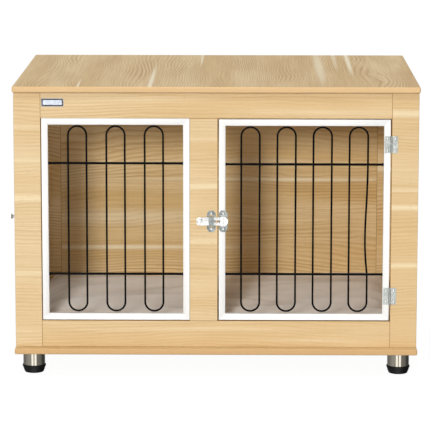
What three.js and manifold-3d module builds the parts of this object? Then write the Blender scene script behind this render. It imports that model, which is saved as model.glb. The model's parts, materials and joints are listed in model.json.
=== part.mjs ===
// A dog crate that doubles as an end table: an oak-effect board carcass on four steel feet, with a
// fixed wire window and a wire door in front, a second wire door in the left side, and a floor cushion.
// Millimetres. X runs to the right, Y to the back and Z up. The origin lies on the floor, under the
// middle of the carcass.

import * as THREE from "three";
import { mergeVertices } from "three/addons/utils/BufferGeometryUtils.js";
import Module from "manifold-3d";

const wasm = await Module();
wasm.setup();

// ---- Overall ----
const crateWidth = 800;
const crateDepth = 590;
const crateHeight = 578;
const footHeight = 42;

// ---- Boards ----
const boardThickness = 12;
const boardArris = 0.5;
const panelArris = 3; // the top and base boards have a wrapped, rounded edge
const panelArrisSteps = 3;
const frontOverhang = 22;
const sideOverhang = 1;
const backOverhang = 1;
const railWidth = 53;
const middleStileWidth = 55;
const windowBayWidth = 294;
const sideStileWidth = 75;

// ---- Square tube and wire ----
const tubeSize = 12.7;
const tubeWall = 1;
const tubeCorner = 0.9;
const drainHole = 4; // in the underside of the bottom tube, so that the coating can run out
const drainHoleSides = 8;
const drainHoleInset = 40; // from the frame's corner
const mitreLineWidth = 0.5;
const mitreLineDepth = 0.35;
const loopWire = 3.6;
const loopWireSides = 6;
const loopArcSteps = 8;
const rodWire = 4.8;
const rodSides = 8;
const weldBite = 0.6;
const loopWidth = 36.3; // between the middles of a loop's legs
const loopTopGap = 1.3; // from the wire to the tube over it
const loopBottomGap = 3;
const loopSetBack = 4.6; // from the front of the tube to the middle of the loop wire
const rodCollar = 6.2;
const rodCollarLength = 2.4;
const upperRodDrop = 77.5;
const lowerRodRise = 79;
const windowLoops = 3;
const windowLoopInset = 39.6; // from the tube to the middle of the first leg
const frontDoorLoops = 4;
const frontDoorLoopInset = 31.3;
const sideDoorLoops = 4;
const sideDoorLoopInset = 42.95;
const windowSideGap = 1.6;
const windowSeatGap = 0.3;
const doorSideGap = 2.7;
const doorEndGap = 1.8;

// ---- Butt hinges ----
const hingeHeight = 33.5;
const hingeLeafWidth = 13;
const hingeLeafThickness = 1.2;
const hingeLeafCorner = 1.2;
const hingeLeafClearance = 0.4; // from the other leaf's knuckles
const hingeBarrel = 4;
const hingeBarrelSides = 12;
const hingeKnuckles = 5;
const hingePin = 2;
const hingePinSides = 8;
const hingePinClearance = 0.15;
const hingeKnuckleGap = 0.3;
const hingePinHead = 3.2;
const hingePinHeadHeight = 0.8;
const hingePinHeadBevel = 0.4;
const hingeScrewHole = 3.4;
const hingeScrewSpread = 23;
const hingeScrewInset = 5.4;
const hingeFromDoorEnd = 49.2;

// ---- Slide latch ----
const latchPlateWidth = 17;
const latchPlateHeight = 43;
const latchPlateThickness = 1.2;
const latchPlateTip = 9; // width of the flat at each end
const latchPlateShoulder = 6.2; // height of the sloping end
const latchScrewHole = 3.6;
const latchScrewSpread = 30.4;
const latchWindowWidth = 9;
const latchWindowHeight = 2.4;
const latchStrapWidth = 10.6;
const latchStrapBend = 1.4;
const boltLength = 62.7;
const boltHeight = 16.1;
const boltThickness = 1.6;
const boltTailCorner = 5.2;
const boltFaceClearance = 0.2;
const boltEdgeClearance = 0.3;
const boltSlotHeight = 4.2;
const boltTravel = 22;
const stopPin = 3.2;
const stopPinSides = 12;
const stopPinClearance = 0.3;
const stopPinHoleClearance = 0.15;
const guideInset = 12.35; // from the doorway's edge to the middle of the guide
const keeperInset = 8.5; // from the door's edge to the middle of the keeper
const boltTipReach = 9.7; // from the middle of the keeper to the tip of the bolt
const knobInset = 5.9; // from the tail of the bolt to the middle of the knob
const knobWidth = 11;
const knobNeck = 4.6;
const knobFoot = 6.8;
const knobFootHeight = 0.8;
const knobRim = 0.6;
const knobDish = 1.1;
const knobSides = 16;
const knobStandOff = 11; // from the board to the face of the knob
const latchRise = -1.8; // from the middle of the doorway up to the middle of the bolt

// ---- Feet ----
const footTube = 43.5;
const footTubeWall = 1.2;
const footTubeTop = 4;
const footNutHeight = 3;
const footSides = 24;
const footInset = 36; // from the base board's edges to the middle of a foot
const footCapHeight = 15.8;
const footCapRim = 46.5;
const footCapRimHeight = 4;
const footCapRimBevel = 0.9;
const footCapStep = 0.8; // under the rim
const footCapTread = 38.4;
const footCapBevel = 2;
const footStud = 8;
const footStudClearance = 0.3;
const footStudReach = 14; // into the tube
const footStudChamfer = 1;
const footStudSides = 10;

// ---- Badge and cushion ----
const badgeWidth = 44;
const badgeHeight = 16;
const badgeThickness = 1;
const badgeCorner = 1.4;
const badgeInset = 2; // from the post's inner edge
const badgeDrop = 22; // from the top board's underside to the middle of the badge
const cushionHeight = 50;
const cushionSideGap = 7;
const cushionSeatGap = 0.3;
const cushionSeamHeight = 20;
const cushionDrawIn = 9;
const cushionColumns = 26;
const cushionRows = 18;
const cushionSideFullness = 7; // the higher, the flatter the top and the rounder the edge
const cushionBaseFullness = 1.3; // over 1, the pad's own weight flattens its base

// ---- Levels and planes worked out from the sizes above ----
const baseTop = footHeight + boardThickness;
const topUnderside = crateHeight - boardThickness;
const panelFront = -crateDepth / 2;
const bodyFront = panelFront + frontOverhang;
const bodyFrontBack = bodyFront + boardThickness;
const bodyBack = crateDepth / 2 - backOverhang;
const bodyBackFront = bodyBack - boardThickness;
const bodySide = crateWidth / 2 - sideOverhang;
const bodySideInside = bodySide - boardThickness;
const openingLow = baseTop + railWidth;
const openingHigh = topUnderside - railWidth;
const openingHeight = openingHigh - openingLow;
const openingMiddle = (openingLow + openingHigh) / 2;
const bayLeft = -bodySide + railWidth;
const stileLeft = bayLeft + windowBayWidth;
const stileRight = stileLeft + middleStileWidth;
const bayRight = bodySide - railWidth;
const sideOpeningFront = bodyFrontBack + sideStileWidth;
const sideOpeningBack = bodyBackFront - sideStileWidth;

// ---- Materials ----
const oak = { color: 0xe6c893, roughness: 0.55, metalness: 0 };
const oakTop = { color: 0xd2b083, roughness: 0.5, metalness: 0 };
const whiteEnamel = { color: 0xf7f7f5, roughness: 0.35, metalness: 0 };
const blackEnamel = { color: 0x14171a, roughness: 0.4, metalness: 0 };
const zinc = { color: 0xa7adad, roughness: 0.35, metalness: 1 };
const nickel = { color: 0xe2e4e4, roughness: 0.15, metalness: 1 };
const brushedSteel = { color: 0x8d877c, roughness: 0.3, metalness: 1 };
const blackPlastic = { color: 0x0d0d0d, roughness: 0.6, metalness: 0 };
const taupeFabric = { color: 0xb5a595, roughness: 0.95, metalness: 0 };

// ---- Making and joining solids ----

// A closed geometry as a solid that can be joined and cut.
function asSolid(geometry) {
  const bare = new THREE.BufferGeometry();
  bare.setAttribute("position", geometry.getAttribute("position"));
  bare.setIndex(geometry.index);
  const merged = mergeVertices(bare, 1e-4);
  const mesh = new wasm.Mesh({
    numProp: 3,
    vertProperties: merged.attributes.position.array,
    triVerts: new Uint32Array(merged.index.array),
  });
  return new wasm.Manifold(mesh);
}

function asGeometry(solid) {
  const mesh = solid.getMesh();
  const geometry = new THREE.BufferGeometry();
  geometry.setAttribute("position", new THREE.BufferAttribute(mesh.vertProperties, 3));
  geometry.setIndex(new THREE.BufferAttribute(mesh.triVerts, 1));
  return geometry;
}

function join(geometries) {
  return asGeometry(geometries.map(asSolid).reduce((whole, piece) => whole.add(piece)));
}

function cut(geometry, tools) {
  const whole = asSolid(geometry);
  return asGeometry(tools.map(asSolid).reduce((left, tool) => left.subtract(tool), whole));
}

function addPiece(group, name, geometry, finish, position = [0, 0, 0]) {
  const mesh = new THREE.Mesh(geometry, new THREE.MeshStandardMaterial(finish));
  mesh.name = name;
  mesh.position.set(...position);
  group.add(mesh);
}

// ---- Outlines ----

function rectangle(width, height, corner = 0) {
  const [x, y] = [width / 2, height / 2];
  const shape = new THREE.Shape();
  if (corner === 0) {
    shape.moveTo(-x, -y).lineTo(x, -y).lineTo(x, y).lineTo(-x, y).closePath();
    return shape;
  }
  const quarter = Math.PI / 2;
  shape.absarc(x - corner, -y + corner, corner, -quarter, 0);
  shape.absarc(x - corner, y - corner, corner, 0, quarter);
  shape.absarc(-x + corner, y - corner, corner, quarter, 2 * quarter);
  shape.absarc(-x + corner, -y + corner, corner, 2 * quarter, 3 * quarter);
  return shape.closePath();
}

// A slot or loop: two straight runs between half circles whose middles lie at low and high on Y.
function stadium(low, high, radius) {
  const path = new THREE.Path();
  path.absarc(0, low, radius, Math.PI, 2 * Math.PI);
  path.absarc(0, high, radius, 0, Math.PI);
  return path.closePath();
}

function roundHole(x, y, diameter) {
  return new THREE.Path().absarc(x, y, diameter / 2, 0, 2 * Math.PI, true);
}

// A flat plate drawn in X and Z, with its back on the XZ plane and its thickness towards -Y.
function frontPlate(shape, thickness, curveSegments) {
  const options = { depth: thickness, bevelEnabled: false, curveSegments };
  return new THREE.ExtrudeGeometry(shape, options).rotateX(Math.PI / 2);
}

// ---- Boards ----

// A board that fills the box from low to high. Its two broad faces have eased edges.
function addBoard(group, name, finish, low, high, arris = boardArris, steps = 1) {
  const size = high.map((end, axis) => end - low[axis]);
  const middle = high.map((end, axis) => (end + low[axis]) / 2);
  const thinAxis = size.indexOf(Math.min(...size));
  const faceWidth = thinAxis === 0 ? size[2] : size[0];
  const faceHeight = thinAxis === 1 ? size[2] : size[1];
  const face = rectangle(faceWidth - 2 * arris, faceHeight - 2 * arris);
  const geometry = new THREE.ExtrudeGeometry(face, {
    depth: size[thinAxis] - 2 * arris,
    bevelThickness: arris,
    bevelSize: arris,
    bevelSegments: steps,
  });
  geometry.translate(0, 0, arris - size[thinAxis] / 2);
  if (thinAxis === 0) geometry.rotateY(Math.PI / 2);
  if (thinAxis === 1) geometry.rotateX(Math.PI / 2);
  addPiece(group, name, geometry, finish, middle);
}

function addPanels(group) {
  const [x, y] = [crateWidth / 2, crateDepth / 2];
  const topLow = [-x, -y, topUnderside];
  addBoard(group, "top_panel", oakTop, topLow, [x, y, crateHeight], panelArris, panelArrisSteps);
  const baseLow = [-x, -y, footHeight];
  addBoard(group, "base_panel", oak, baseLow, [x, y, baseTop], panelArris, panelArrisSteps);
}

function addFrontFrame(group) {
  const add = (name, left, right, low, high) =>
    addBoard(group, name, oak, [left, bodyFront, low], [right, bodyFrontBack, high]);
  add("front_left_post", -bodySide, bayLeft, baseTop, topUnderside);
  add("front_right_post", bayRight, bodySide, baseTop, topUnderside);
  add("front_top_rail", bayLeft, bayRight, openingHigh, topUnderside);
  add("front_bottom_rail", bayLeft, bayRight, baseTop, openingLow);
  add("front_middle_stile", stileLeft, stileRight, openingLow, openingHigh);
}

function addLeftFrame(group) {
  const add = (name, front, back, low, high) =>
    addBoard(group, name, oak, [-bodySide, front, low], [-bodySideInside, back, high]);
  add("left_front_stile", bodyFrontBack, sideOpeningFront, baseTop, topUnderside);
  add("left_rear_stile", sideOpeningBack, bodyBackFront, baseTop, topUnderside);
  add("left_top_rail", sideOpeningFront, sideOpeningBack, openingHigh, topUnderside);
  add("left_bottom_rail", sideOpeningFront, sideOpeningBack, baseTop, openingLow);
}

function addBackAndRight(group) {
  const add = (name, left, right, front, back) =>
    addBoard(group, name, oak, [left, front, baseTop], [right, back, topUnderside]);
  add("right_side_panel", bodySideInside, bodySide, bodyFrontBack, bodyBackFront);
  add("rear_left_post", -bodySide, bayLeft, bodyBackFront, bodyBack);
  add("rear_right_post", bayRight, bodySide, bodyBackFront, bodyBack);
  add("back_panel", bayLeft, bayRight, bodyBackFront, bodyBack);
}

// ---- Wire panels: a mitred frame of square tube, and a grille of rods and loops inside it ----
// Each is drawn about its own middle, with its front on the XZ plane and its depth towards +Y.

function tubeFrame(width, height) {
  const shape = rectangle(width - 2 * tubeCorner, height - 2 * tubeCorner);
  const inside = 2 * tubeSize - 2 * tubeCorner;
  shape.holes.push(rectangle(width - inside, height - inside));
  const tubes = new THREE.ExtrudeGeometry(shape, {
    depth: tubeSize - 2 * tubeCorner,
    bevelThickness: tubeCorner,
    bevelSize: tubeCorner,
    bevelSegments: 2,
  });
  tubes.rotateX(Math.PI / 2).translate(0, tubeSize - tubeCorner, 0);
  return cut(tubes, [tubeHollow(width, height), ...drainHoles(width, height), ...mitreLines(width, height)]);
}

function tubeHollow(width, height) {
  const shape = rectangle(width - 2 * tubeWall, height - 2 * tubeWall);
  const inside = 2 * (tubeSize - tubeWall);
  shape.holes.push(rectangle(width - inside, height - inside));
  const hollow = new THREE.ExtrudeGeometry(shape, { depth: tubeSize - 2 * tubeWall, bevelEnabled: false });
  return hollow.rotateX(Math.PI / 2).translate(0, tubeSize - tubeWall, 0);
}

function drainHoles(width, height) {
  return [-1, 1].map((side) => {
    const hole = new THREE.CylinderGeometry(drainHole / 2, drainHole / 2, 3 * tubeWall, drainHoleSides);
    hole.rotateX(Math.PI / 2);
    return hole.translate(side * (width / 2 - drainHoleInset), tubeSize / 2, -height / 2);
  });
}

function mitreLines(width, height) {
  const lines = [];
  for (const side of [-1, 1]) {
    for (const end of [-1, 1]) {
      for (const face of [0, tubeSize]) {
        const line = new THREE.BoxGeometry(2 * tubeSize, 2 * mitreLineDepth, mitreLineWidth);
        line.rotateY((-side * end * Math.PI) / 4);
        line.translate((side * (width - tubeSize)) / 2, face, (end * (height - tubeSize)) / 2);
        lines.push(line);
      }
    }
  }
  return lines;
}

// A closed ring of wire round a flat outline that is drawn in X and Z.
function wireRing(outline, diameter) {
  const count = outline.length;
  const positions = [];
  const triangles = [];
  outline.forEach((point, i) => {
    const before = outline[(i + count - 1) % count];
    const after = outline[(i + 1) % count];
    const outward = new THREE.Vector2(after.y - before.y, before.x - after.x).normalize();
    for (let side = 0; side < loopWireSides; side++) {
      const angle = (2 * Math.PI * (side + 0.5)) / loopWireSides;
      const reach = (Math.cos(angle) * diameter) / 2;
      const depth = (Math.sin(angle) * diameter) / 2;
      positions.push(point.x + outward.x * reach, depth, point.y + outward.y * reach);
      const next = (side + 1) % loopWireSides;
      const here = i * loopWireSides;
      const there = ((i + 1) % count) * loopWireSides;
      triangles.push(here + side, there + next, there + side);
      triangles.push(here + side, here + next, there + next);
    }
  });
  const geometry = new THREE.BufferGeometry();
  geometry.setAttribute("position", new THREE.Float32BufferAttribute(positions, 3));
  geometry.setIndex(triangles);
  return geometry;
}

// The rods run from tube to tube behind the loops, and every crossing is welded.
function wireGrille(width, height, loops, loopInset) {
  const insideWidth = width - 2 * tubeSize;
  const insideHeight = height - 2 * tubeSize;
  const pitch = (insideWidth - 2 * loopInset - loopWidth) / (loops - 1);
  const rodSetBack = loopSetBack + (loopWire + rodWire) / 2 - weldBite;
  const pieces = [];
  const arcReach = insideHeight / 2 - (loopWire + loopWidth) / 2;
  const loop = stadium(loopBottomGap - arcReach, arcReach - loopTopGap, loopWidth / 2);
  const outline = loop.getPoints(loopArcSteps);
  const ends = outline.filter((point, i) => i === 0 || point.distanceTo(outline[i - 1]) > 1e-6);
  if (ends[0].distanceTo(ends.at(-1)) < 1e-6) ends.pop();
  for (let i = 0; i < loops; i++) {
    const x = (i - (loops - 1) / 2) * pitch;
    pieces.push(wireRing(ends, loopWire).translate(x, loopSetBack, 0));
  }
  for (const z of [insideHeight / 2 - upperRodDrop, lowerRodRise - insideHeight / 2]) {
    const rod = new THREE.CylinderGeometry(rodWire / 2, rodWire / 2, insideWidth, rodSides);
    pieces.push(rod.rotateZ(Math.PI / 2).translate(0, rodSetBack, z));
    for (const side of [-1, 1]) {
      const radius = rodCollar / 2;
      const collar = new THREE.CylinderGeometry(radius, radius, rodCollarLength, rodSides);
      const x = (side * (insideWidth - rodCollarLength)) / 2;
      pieces.push(collar.rotateZ(Math.PI / 2).translate(x, rodSetBack, z));
    }
  }
  return join(pieces);
}

function addWindow(group) {
  const width = windowBayWidth - windowSideGap - windowSeatGap;
  const height = openingHeight - windowSideGap - windowSeatGap;
  const x = stileLeft - windowSeatGap - width / 2;
  const z = openingHigh - windowSeatGap - height / 2;
  const place = [x, bodyFront, z];
  addPiece(group, "window_frame", tubeFrame(width, height), whiteEnamel, place);
  const grille = wireGrille(width, height, windowLoops, windowLoopInset);
  addPiece(group, "window_grille", grille, blackEnamel, place);
}

// ---- Hinges: two leaves whose knuckles take turns round a headed pin ----
// Drawn about the pin's middle, with the boards' face at y = hingeBarrel / 2.

// The leaf lies on the +X side of the pin. Its knuckles are those whose number leaves this remainder.
function hingeLeaf(remainder) {
  const face = hingeBarrel / 2;
  const clearOfBarrel = hingeBarrel / 2 + hingeLeafClearance;
  const plateWidth = hingeLeafWidth - clearOfBarrel;
  const outline = rectangle(plateWidth, hingeHeight, hingeLeafCorner);
  const screwX = hingeLeafWidth - hingeScrewInset - clearOfBarrel - plateWidth / 2;
  for (const end of [-1, 1]) {
    outline.holes.push(roundHole(screwX, (end * hingeScrewSpread) / 2, hingeScrewHole));
  }
  const plate = frontPlate(outline, hingeLeafThickness, 3);
  const pieces = [plate.translate(clearOfBarrel + plateWidth / 2, face, 0)];
  const step = hingeHeight / hingeKnuckles;
  for (let i = remainder; i < hingeKnuckles; i += 2) {
    const z = (i + 0.5) * step - hingeHeight / 2;
    const lowGap = i === 0 ? 0 : hingeKnuckleGap / 2;
    const highGap = i === hingeKnuckles - 1 ? 0 : hingeKnuckleGap / 2;
    const length = step - lowGap - highGap;
    const middle = z + (lowGap - highGap) / 2;
    const radius = hingeBarrel / 2;
    const knuckle = new THREE.CylinderGeometry(radius, radius, length, hingeBarrelSides);
    pieces.push(knuckle.rotateX(Math.PI / 2).translate(0, 0, middle));
    const webWidth = clearOfBarrel + hingeLeafCorner;
    const web = new THREE.BoxGeometry(webWidth, hingeLeafThickness, length);
    pieces.push(web.translate(webWidth / 2, face - hingeLeafThickness / 2, middle));
  }
  const boreRadius = hingePin / 2 + hingePinClearance;
  const bore = new THREE.CylinderGeometry(boreRadius, boreRadius, 2 * hingeHeight, hingePinSides);
  return cut(join(pieces), [bore.rotateX(Math.PI / 2)]);
}

function hingePinGeometry() {
  const end = hingeHeight / 2;
  const profile = [
    [0, -end - hingePinHeadHeight],
    [hingePinHead / 2 - hingePinHeadBevel, -end - hingePinHeadHeight],
    [hingePinHead / 2, -end - hingePinHeadHeight + hingePinHeadBevel],
    [hingePinHead / 2, -end],
    [hingePin / 2, -end],
    [hingePin / 2, end],
    [hingePinHead / 2, end],
    [hingePinHead / 2, end + hingePinHeadHeight - hingePinHeadBevel],
    [hingePinHead / 2 - hingePinHeadBevel, end + hingePinHeadHeight],
    [0, end + hingePinHeadHeight],
  ];
  return revolve(profile, hingePinSides);
}

// A turned piece about Z, from a profile of radius and height.
function revolve(profile, sides) {
  const points = profile.map(([radius, height]) => new THREE.Vector2(radius, height));
  return new THREE.LatheGeometry(points, sides).rotateX(Math.PI / 2);
}

// ---- Slide latch: a slotted bolt that slides in a guide on the board and into a keeper on the door ----
// Drawn about the bracket's middle, with the boards' face on the XZ plane.

function latchBracket(pinHole) {
  const [x, z] = [latchPlateWidth / 2, latchPlateHeight / 2];
  const plateShape = new THREE.Shape();
  plateShape.moveTo(-latchPlateTip / 2, -z).lineTo(latchPlateTip / 2, -z);
  plateShape.lineTo(x, latchPlateShoulder - z).lineTo(x, z - latchPlateShoulder);
  plateShape.lineTo(latchPlateTip / 2, z).lineTo(-latchPlateTip / 2, z);
  plateShape.lineTo(-x, z - latchPlateShoulder).lineTo(-x, latchPlateShoulder - z).closePath();

  const strapInside = boltHeight / 2 + boltEdgeClearance;
  const strapOutside = strapInside + latchPlateThickness;
  const reachInside = latchPlateThickness + boltThickness + 2 * boltFaceClearance;
  const reachOutside = reachInside + latchPlateThickness;
  for (const end of [-1, 1]) {
    plateShape.holes.push(roundHole(0, (end * latchScrewSpread) / 2, latchScrewHole));
  }
  const plate = frontPlate(plateShape, latchPlateThickness, 4);

  const strapShape = new THREE.Shape();
  const bend = latchStrapBend;
  const quarter = Math.PI / 2;
  strapShape.moveTo(0, -strapOutside).lineTo(reachOutside - bend, -strapOutside);
  strapShape.absarc(reachOutside - bend, bend - strapOutside, bend, -quarter, 0);
  strapShape.absarc(reachOutside - bend, strapOutside - bend, bend, 0, quarter);
  strapShape.lineTo(0, strapOutside).lineTo(0, strapInside).lineTo(reachInside, strapInside);
  strapShape.lineTo(reachInside, -strapInside).lineTo(0, -strapInside).closePath();
  const options = { depth: latchStrapWidth, bevelEnabled: false, curveSegments: 3 };
  const strap = new THREE.ExtrudeGeometry(strapShape, options);
  strap.translate(0, 0, -latchStrapWidth / 2);
  const outward = new THREE.Vector3(0, -1, 0);
  const up = new THREE.Vector3(0, 0, 1);
  const left = new THREE.Vector3(-1, 0, 0);
  strap.applyMatrix4(new THREE.Matrix4().makeBasis(outward, up, left));

  const tools = [];
  for (const end of [-1, 1]) {
    const window = new THREE.BoxGeometry(latchWindowWidth, 4 * latchPlateThickness, latchWindowHeight);
    tools.push(window.translate(0, 0, end * (strapOutside + latchWindowHeight / 2)));
  }
  if (pinHole) {
    const radius = stopPin / 2 + stopPinHoleClearance;
    const height = 2 * latchPlateThickness;
    const hole = new THREE.CylinderGeometry(radius, radius, height, stopPinSides);
    tools.push(hole.translate(0, -reachOutside + latchPlateThickness / 2, 0));
  }
  return cut(join([plate, strap]), tools);
}

// Drawn with the middle of the guide at the origin and the tip towards +X.
function latchBolt(tip) {
  const tail = tip - boltLength;
  const half = boltHeight / 2;
  const quarter = Math.PI / 2;
  const shape = new THREE.Shape();
  shape.absarc(tip - half, 0, half, -quarter, quarter);
  shape.absarc(tail + boltTailCorner, half - boltTailCorner, boltTailCorner, quarter, 2 * quarter);
  shape.absarc(tail + boltTailCorner, boltTailCorner - half, boltTailCorner, 2 * quarter, 3 * quarter);
  shape.closePath();
  const slotHalf = boltSlotHeight / 2;
  const slotEnd = stopPin / 2 + stopPinClearance - slotHalf;
  const slot = new THREE.Path();
  slot.absarc(-slotEnd, 0, slotHalf, quarter, 3 * quarter);
  slot.absarc(boltTravel + slotEnd, 0, slotHalf, -quarter, quarter);
  slot.closePath();
  shape.holes.push(slot);
  const back = latchPlateThickness + boltFaceClearance;
  return frontPlate(shape, boltThickness, 6).translate(0, -back, 0);
}

function latchKnob() {
  const boltFront = latchPlateThickness + boltFaceClearance + boltThickness;
  const height = knobStandOff - boltFront;
  const profile = [
    [0, 0],
    [knobFoot / 2, 0],
    [knobFoot / 2, knobFootHeight],
    [knobNeck / 2, 2 * knobFootHeight],
    [knobNeck / 2, height / 2 - knobFootHeight],
    [knobWidth / 2, height - knobRim],
    [knobWidth / 2, height],
    [knobWidth / 2 - knobRim, height],
    [0, height - knobDish],
  ];
  return revolve(profile, knobSides).rotateX(Math.PI / 2).translate(0, -boltFront, 0);
}

function stopPinGeometry() {
  const reach = 2 * latchPlateThickness + boltThickness + 2 * boltFaceClearance;
  const length = reach - latchPlateThickness - boltFaceClearance;
  const pin = new THREE.CylinderGeometry(stopPin / 2, stopPin / 2, length, stopPinSides);
  return pin.translate(0, length / 2 - reach, 0);
}

// ---- A wire door with its hinges and latch ----
// The doorway is drawn about its own middle, with the boards' outer face on the XZ plane. The door
// hangs on the +X side of it.

function addDoor(group, prefix, doorwayWidth, loops, loopInset) {
  const add = (name, geometry, finish, position) =>
    addPiece(group, `${prefix}_${name}`, geometry, finish, position);
  const width = doorwayWidth - 2 * doorSideGap;
  const height = openingHeight - 2 * doorEndGap;
  add("door_frame", tubeFrame(width, height), whiteEnamel);
  add("door_grille", wireGrille(width, height, loops, loopInset), blackEnamel);

  const pinX = (doorwayWidth - doorSideGap) / 2;
  const pinY = -hingeBarrel / 2;
  for (const [level, side] of [["upper", 1], ["lower", -1]]) {
    const place = [pinX, pinY, side * (height / 2 - hingeFromDoorEnd)];
    add(`${level}_hinge_frame_leaf`, hingeLeaf(0), zinc, place);
    add(`${level}_hinge_door_leaf`, hingeLeaf(1).rotateY(Math.PI), zinc, place);
    add(`${level}_hinge_pin`, hingePinGeometry(), zinc, place);
  }

  const guideX = -doorwayWidth / 2 - guideInset;
  const keeperX = -width / 2 + keeperInset;
  const boltTip = keeperX + boltTipReach;
  add("latch_guide", latchBracket(true), zinc, [guideX, 0, latchRise]);
  add("latch_stop_pin", stopPinGeometry(), zinc, [guideX, 0, latchRise]);
  add("latch_keeper", latchBracket(false), zinc, [keeperX, 0, latchRise]);
  add("latch_bolt", latchBolt(boltTip - guideX), nickel, [guideX, 0, latchRise]);
  add("latch_knob", latchKnob(), nickel, [boltTip - boltLength + knobInset, 0, latchRise]);
}

function addDoors(crate) {
  const front = new THREE.Group();
  front.position.set((stileRight + bayRight) / 2, bodyFront, openingMiddle);
  addDoor(front, "front", bayRight - stileRight, frontDoorLoops, frontDoorLoopInset);
  crate.add(front);

  // The side door is the mirror image of the front one: it hangs at the back and latches at the front.
  const side = new THREE.Group();
  side.position.set(-bodySide, (sideOpeningFront + sideOpeningBack) / 2, openingMiddle);
  side.rotation.z = -Math.PI / 2;
  side.scale.x = -1;
  addDoor(side, "side", sideOpeningBack - sideOpeningFront, sideDoorLoops, sideDoorLoopInset);
  crate.add(side);
}

// ---- Feet: a steel tube under each corner, and a levelling cap on a stud ----

function footTubeGeometry() {
  const outside = footTube / 2;
  const inside = outside - footTubeWall;
  const bore = footStud / 2 + footStudClearance;
  const low = footCapHeight;
  const profile = [
    [bore, low],
    [outside, low],
    [outside, footHeight],
    [0, footHeight],
    [0, footHeight - footTubeTop],
    [inside, footHeight - footTubeTop],
    [inside, low + footNutHeight],
    [bore, low + footNutHeight],
    [bore, low],
  ];
  return revolve(profile, footSides);
}

function footCapGeometry() {
  const profile = [
    [0, 0],
    [footCapTread / 2 - footCapBevel, 0],
    [footCapTread / 2, footCapBevel],
    [footCapRim / 2 - footCapStep, footCapHeight - footCapRimHeight],
    [footCapRim / 2, footCapHeight - footCapRimHeight],
    [footCapRim / 2, footCapHeight - footCapRimBevel],
    [footCapRim / 2 - footCapRimBevel, footCapHeight],
    [0, footCapHeight],
  ];
  const stud = [
    [0, footCapHeight / 2],
    [footStud / 2, footCapHeight / 2],
    [footStud / 2, footCapHeight + footStudReach - footStudChamfer],
    [footStud / 2 - footStudChamfer, footCapHeight + footStudReach],
    [0, footCapHeight + footStudReach],
  ];
  return join([revolve(profile, footSides), revolve(stud, footStudSides)]);
}

function addFeet(group) {
  for (const [row, y] of [["front", -1], ["rear", 1]]) {
    for (const [side, x] of [["left", -1], ["right", 1]]) {
      const place = [x * (crateWidth / 2 - footInset), y * (crateDepth / 2 - footInset), 0];
      addPiece(group, `foot_tube_${row}_${side}`, footTubeGeometry(), brushedSteel, place);
      addPiece(group, `foot_cap_${row}_${side}`, footCapGeometry(), blackPlastic, place);
    }
  }
}

// ---- Badge plate: bare ----

function addBadge(group) {
  const shape = rectangle(badgeWidth, badgeHeight, badgeCorner);
  const x = bayLeft + badgeInset + badgeWidth / 2;
  const z = topUnderside - badgeDrop;
  addPiece(group, "badge_plate", frontPlate(shape, badgeThickness, 3), nickel, [x, bodyFront, z]);
}

// ---- Cushion: a crowned pad whose sides draw in between its corners ----

function cushionGeometry(width, depth) {
  const positions = [];
  const triangles = [];
  const fullness = (u, v) => {
    const across = 1 - Math.abs(u) ** cushionSideFullness;
    const along = 1 - Math.abs(v) ** cushionSideFullness;
    return Math.sqrt(Math.max(0, across * along));
  };
  // A grid that is closer towards the edges, where the pad turns over.
  const spread = (t) => Math.sin((t * Math.PI) / 2);
  const gridPoint = (column, row, top) => {
    const u = spread((2 * column) / cushionColumns - 1);
    const v = spread((2 * row) / cushionRows - 1);
    const x = (width / 2) * u - cushionDrawIn * u ** 3 * (1 - v * v);
    const y = (depth / 2) * v - cushionDrawIn * v ** 3 * (1 - u * u);
    const crown = (cushionHeight - cushionSeamHeight) * fullness(u, v);
    const sag = cushionSeamHeight * Math.min(1, cushionBaseFullness * fullness(u, v));
    return [x, y, cushionSeamHeight + (top ? crown : -sag)];
  };
  const isRim = (column, row) =>
    column === 0 || row === 0 || column === cushionColumns || row === cushionRows;
  const indexOf = new Map();
  for (const top of [true, false]) {
    for (let row = 0; row <= cushionRows; row++) {
      for (let column = 0; column <= cushionColumns; column++) {
        const key = `${column},${row},${isRim(column, row) || top}`;
        if (indexOf.has(key)) continue;
        indexOf.set(key, positions.length / 3);
        positions.push(...gridPoint(column, row, top));
      }
    }
  }
  for (const top of [true, false]) {
    const at = (column, row) => indexOf.get(`${column},${row},${isRim(column, row) || top}`);
    for (let row = 0; row < cushionRows; row++) {
      for (let column = 0; column < cushionColumns; column++) {
        const a = at(column, row);
        const b = at(column + 1, row);
        const c = at(column + 1, row + 1);
        const d = at(column, row + 1);
        triangles.push(...(top ? [a, b, c, a, c, d] : [a, c, b, a, d, c]));
      }
    }
  }
  const geometry = new THREE.BufferGeometry();
  geometry.setAttribute("position", new THREE.Float32BufferAttribute(positions, 3));
  geometry.setIndex(triangles);
  return geometry;
}

function addCushion(group) {
  const width = 2 * (bodySideInside - cushionSideGap);
  const depth = bodyBackFront - bodyFrontBack - 2 * cushionSideGap;
  const place = [0, (bodyFrontBack + bodyBackFront) / 2, baseTop + cushionSeatGap];
  addPiece(group, "cushion", cushionGeometry(width, depth), taupeFabric, place);
}

// ---- The crate ----

const crate = new THREE.Group();
addPanels(crate);
addFrontFrame(crate);
addLeftFrame(crate);
addBackAndRight(crate);
addWindow(crate);
addDoors(crate);
addFeet(crate);
addBadge(crate);
addCushion(crate);

export default crate;
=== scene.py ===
import json
import math

import bpy
from mathutils import Matrix, Vector, noise

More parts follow.
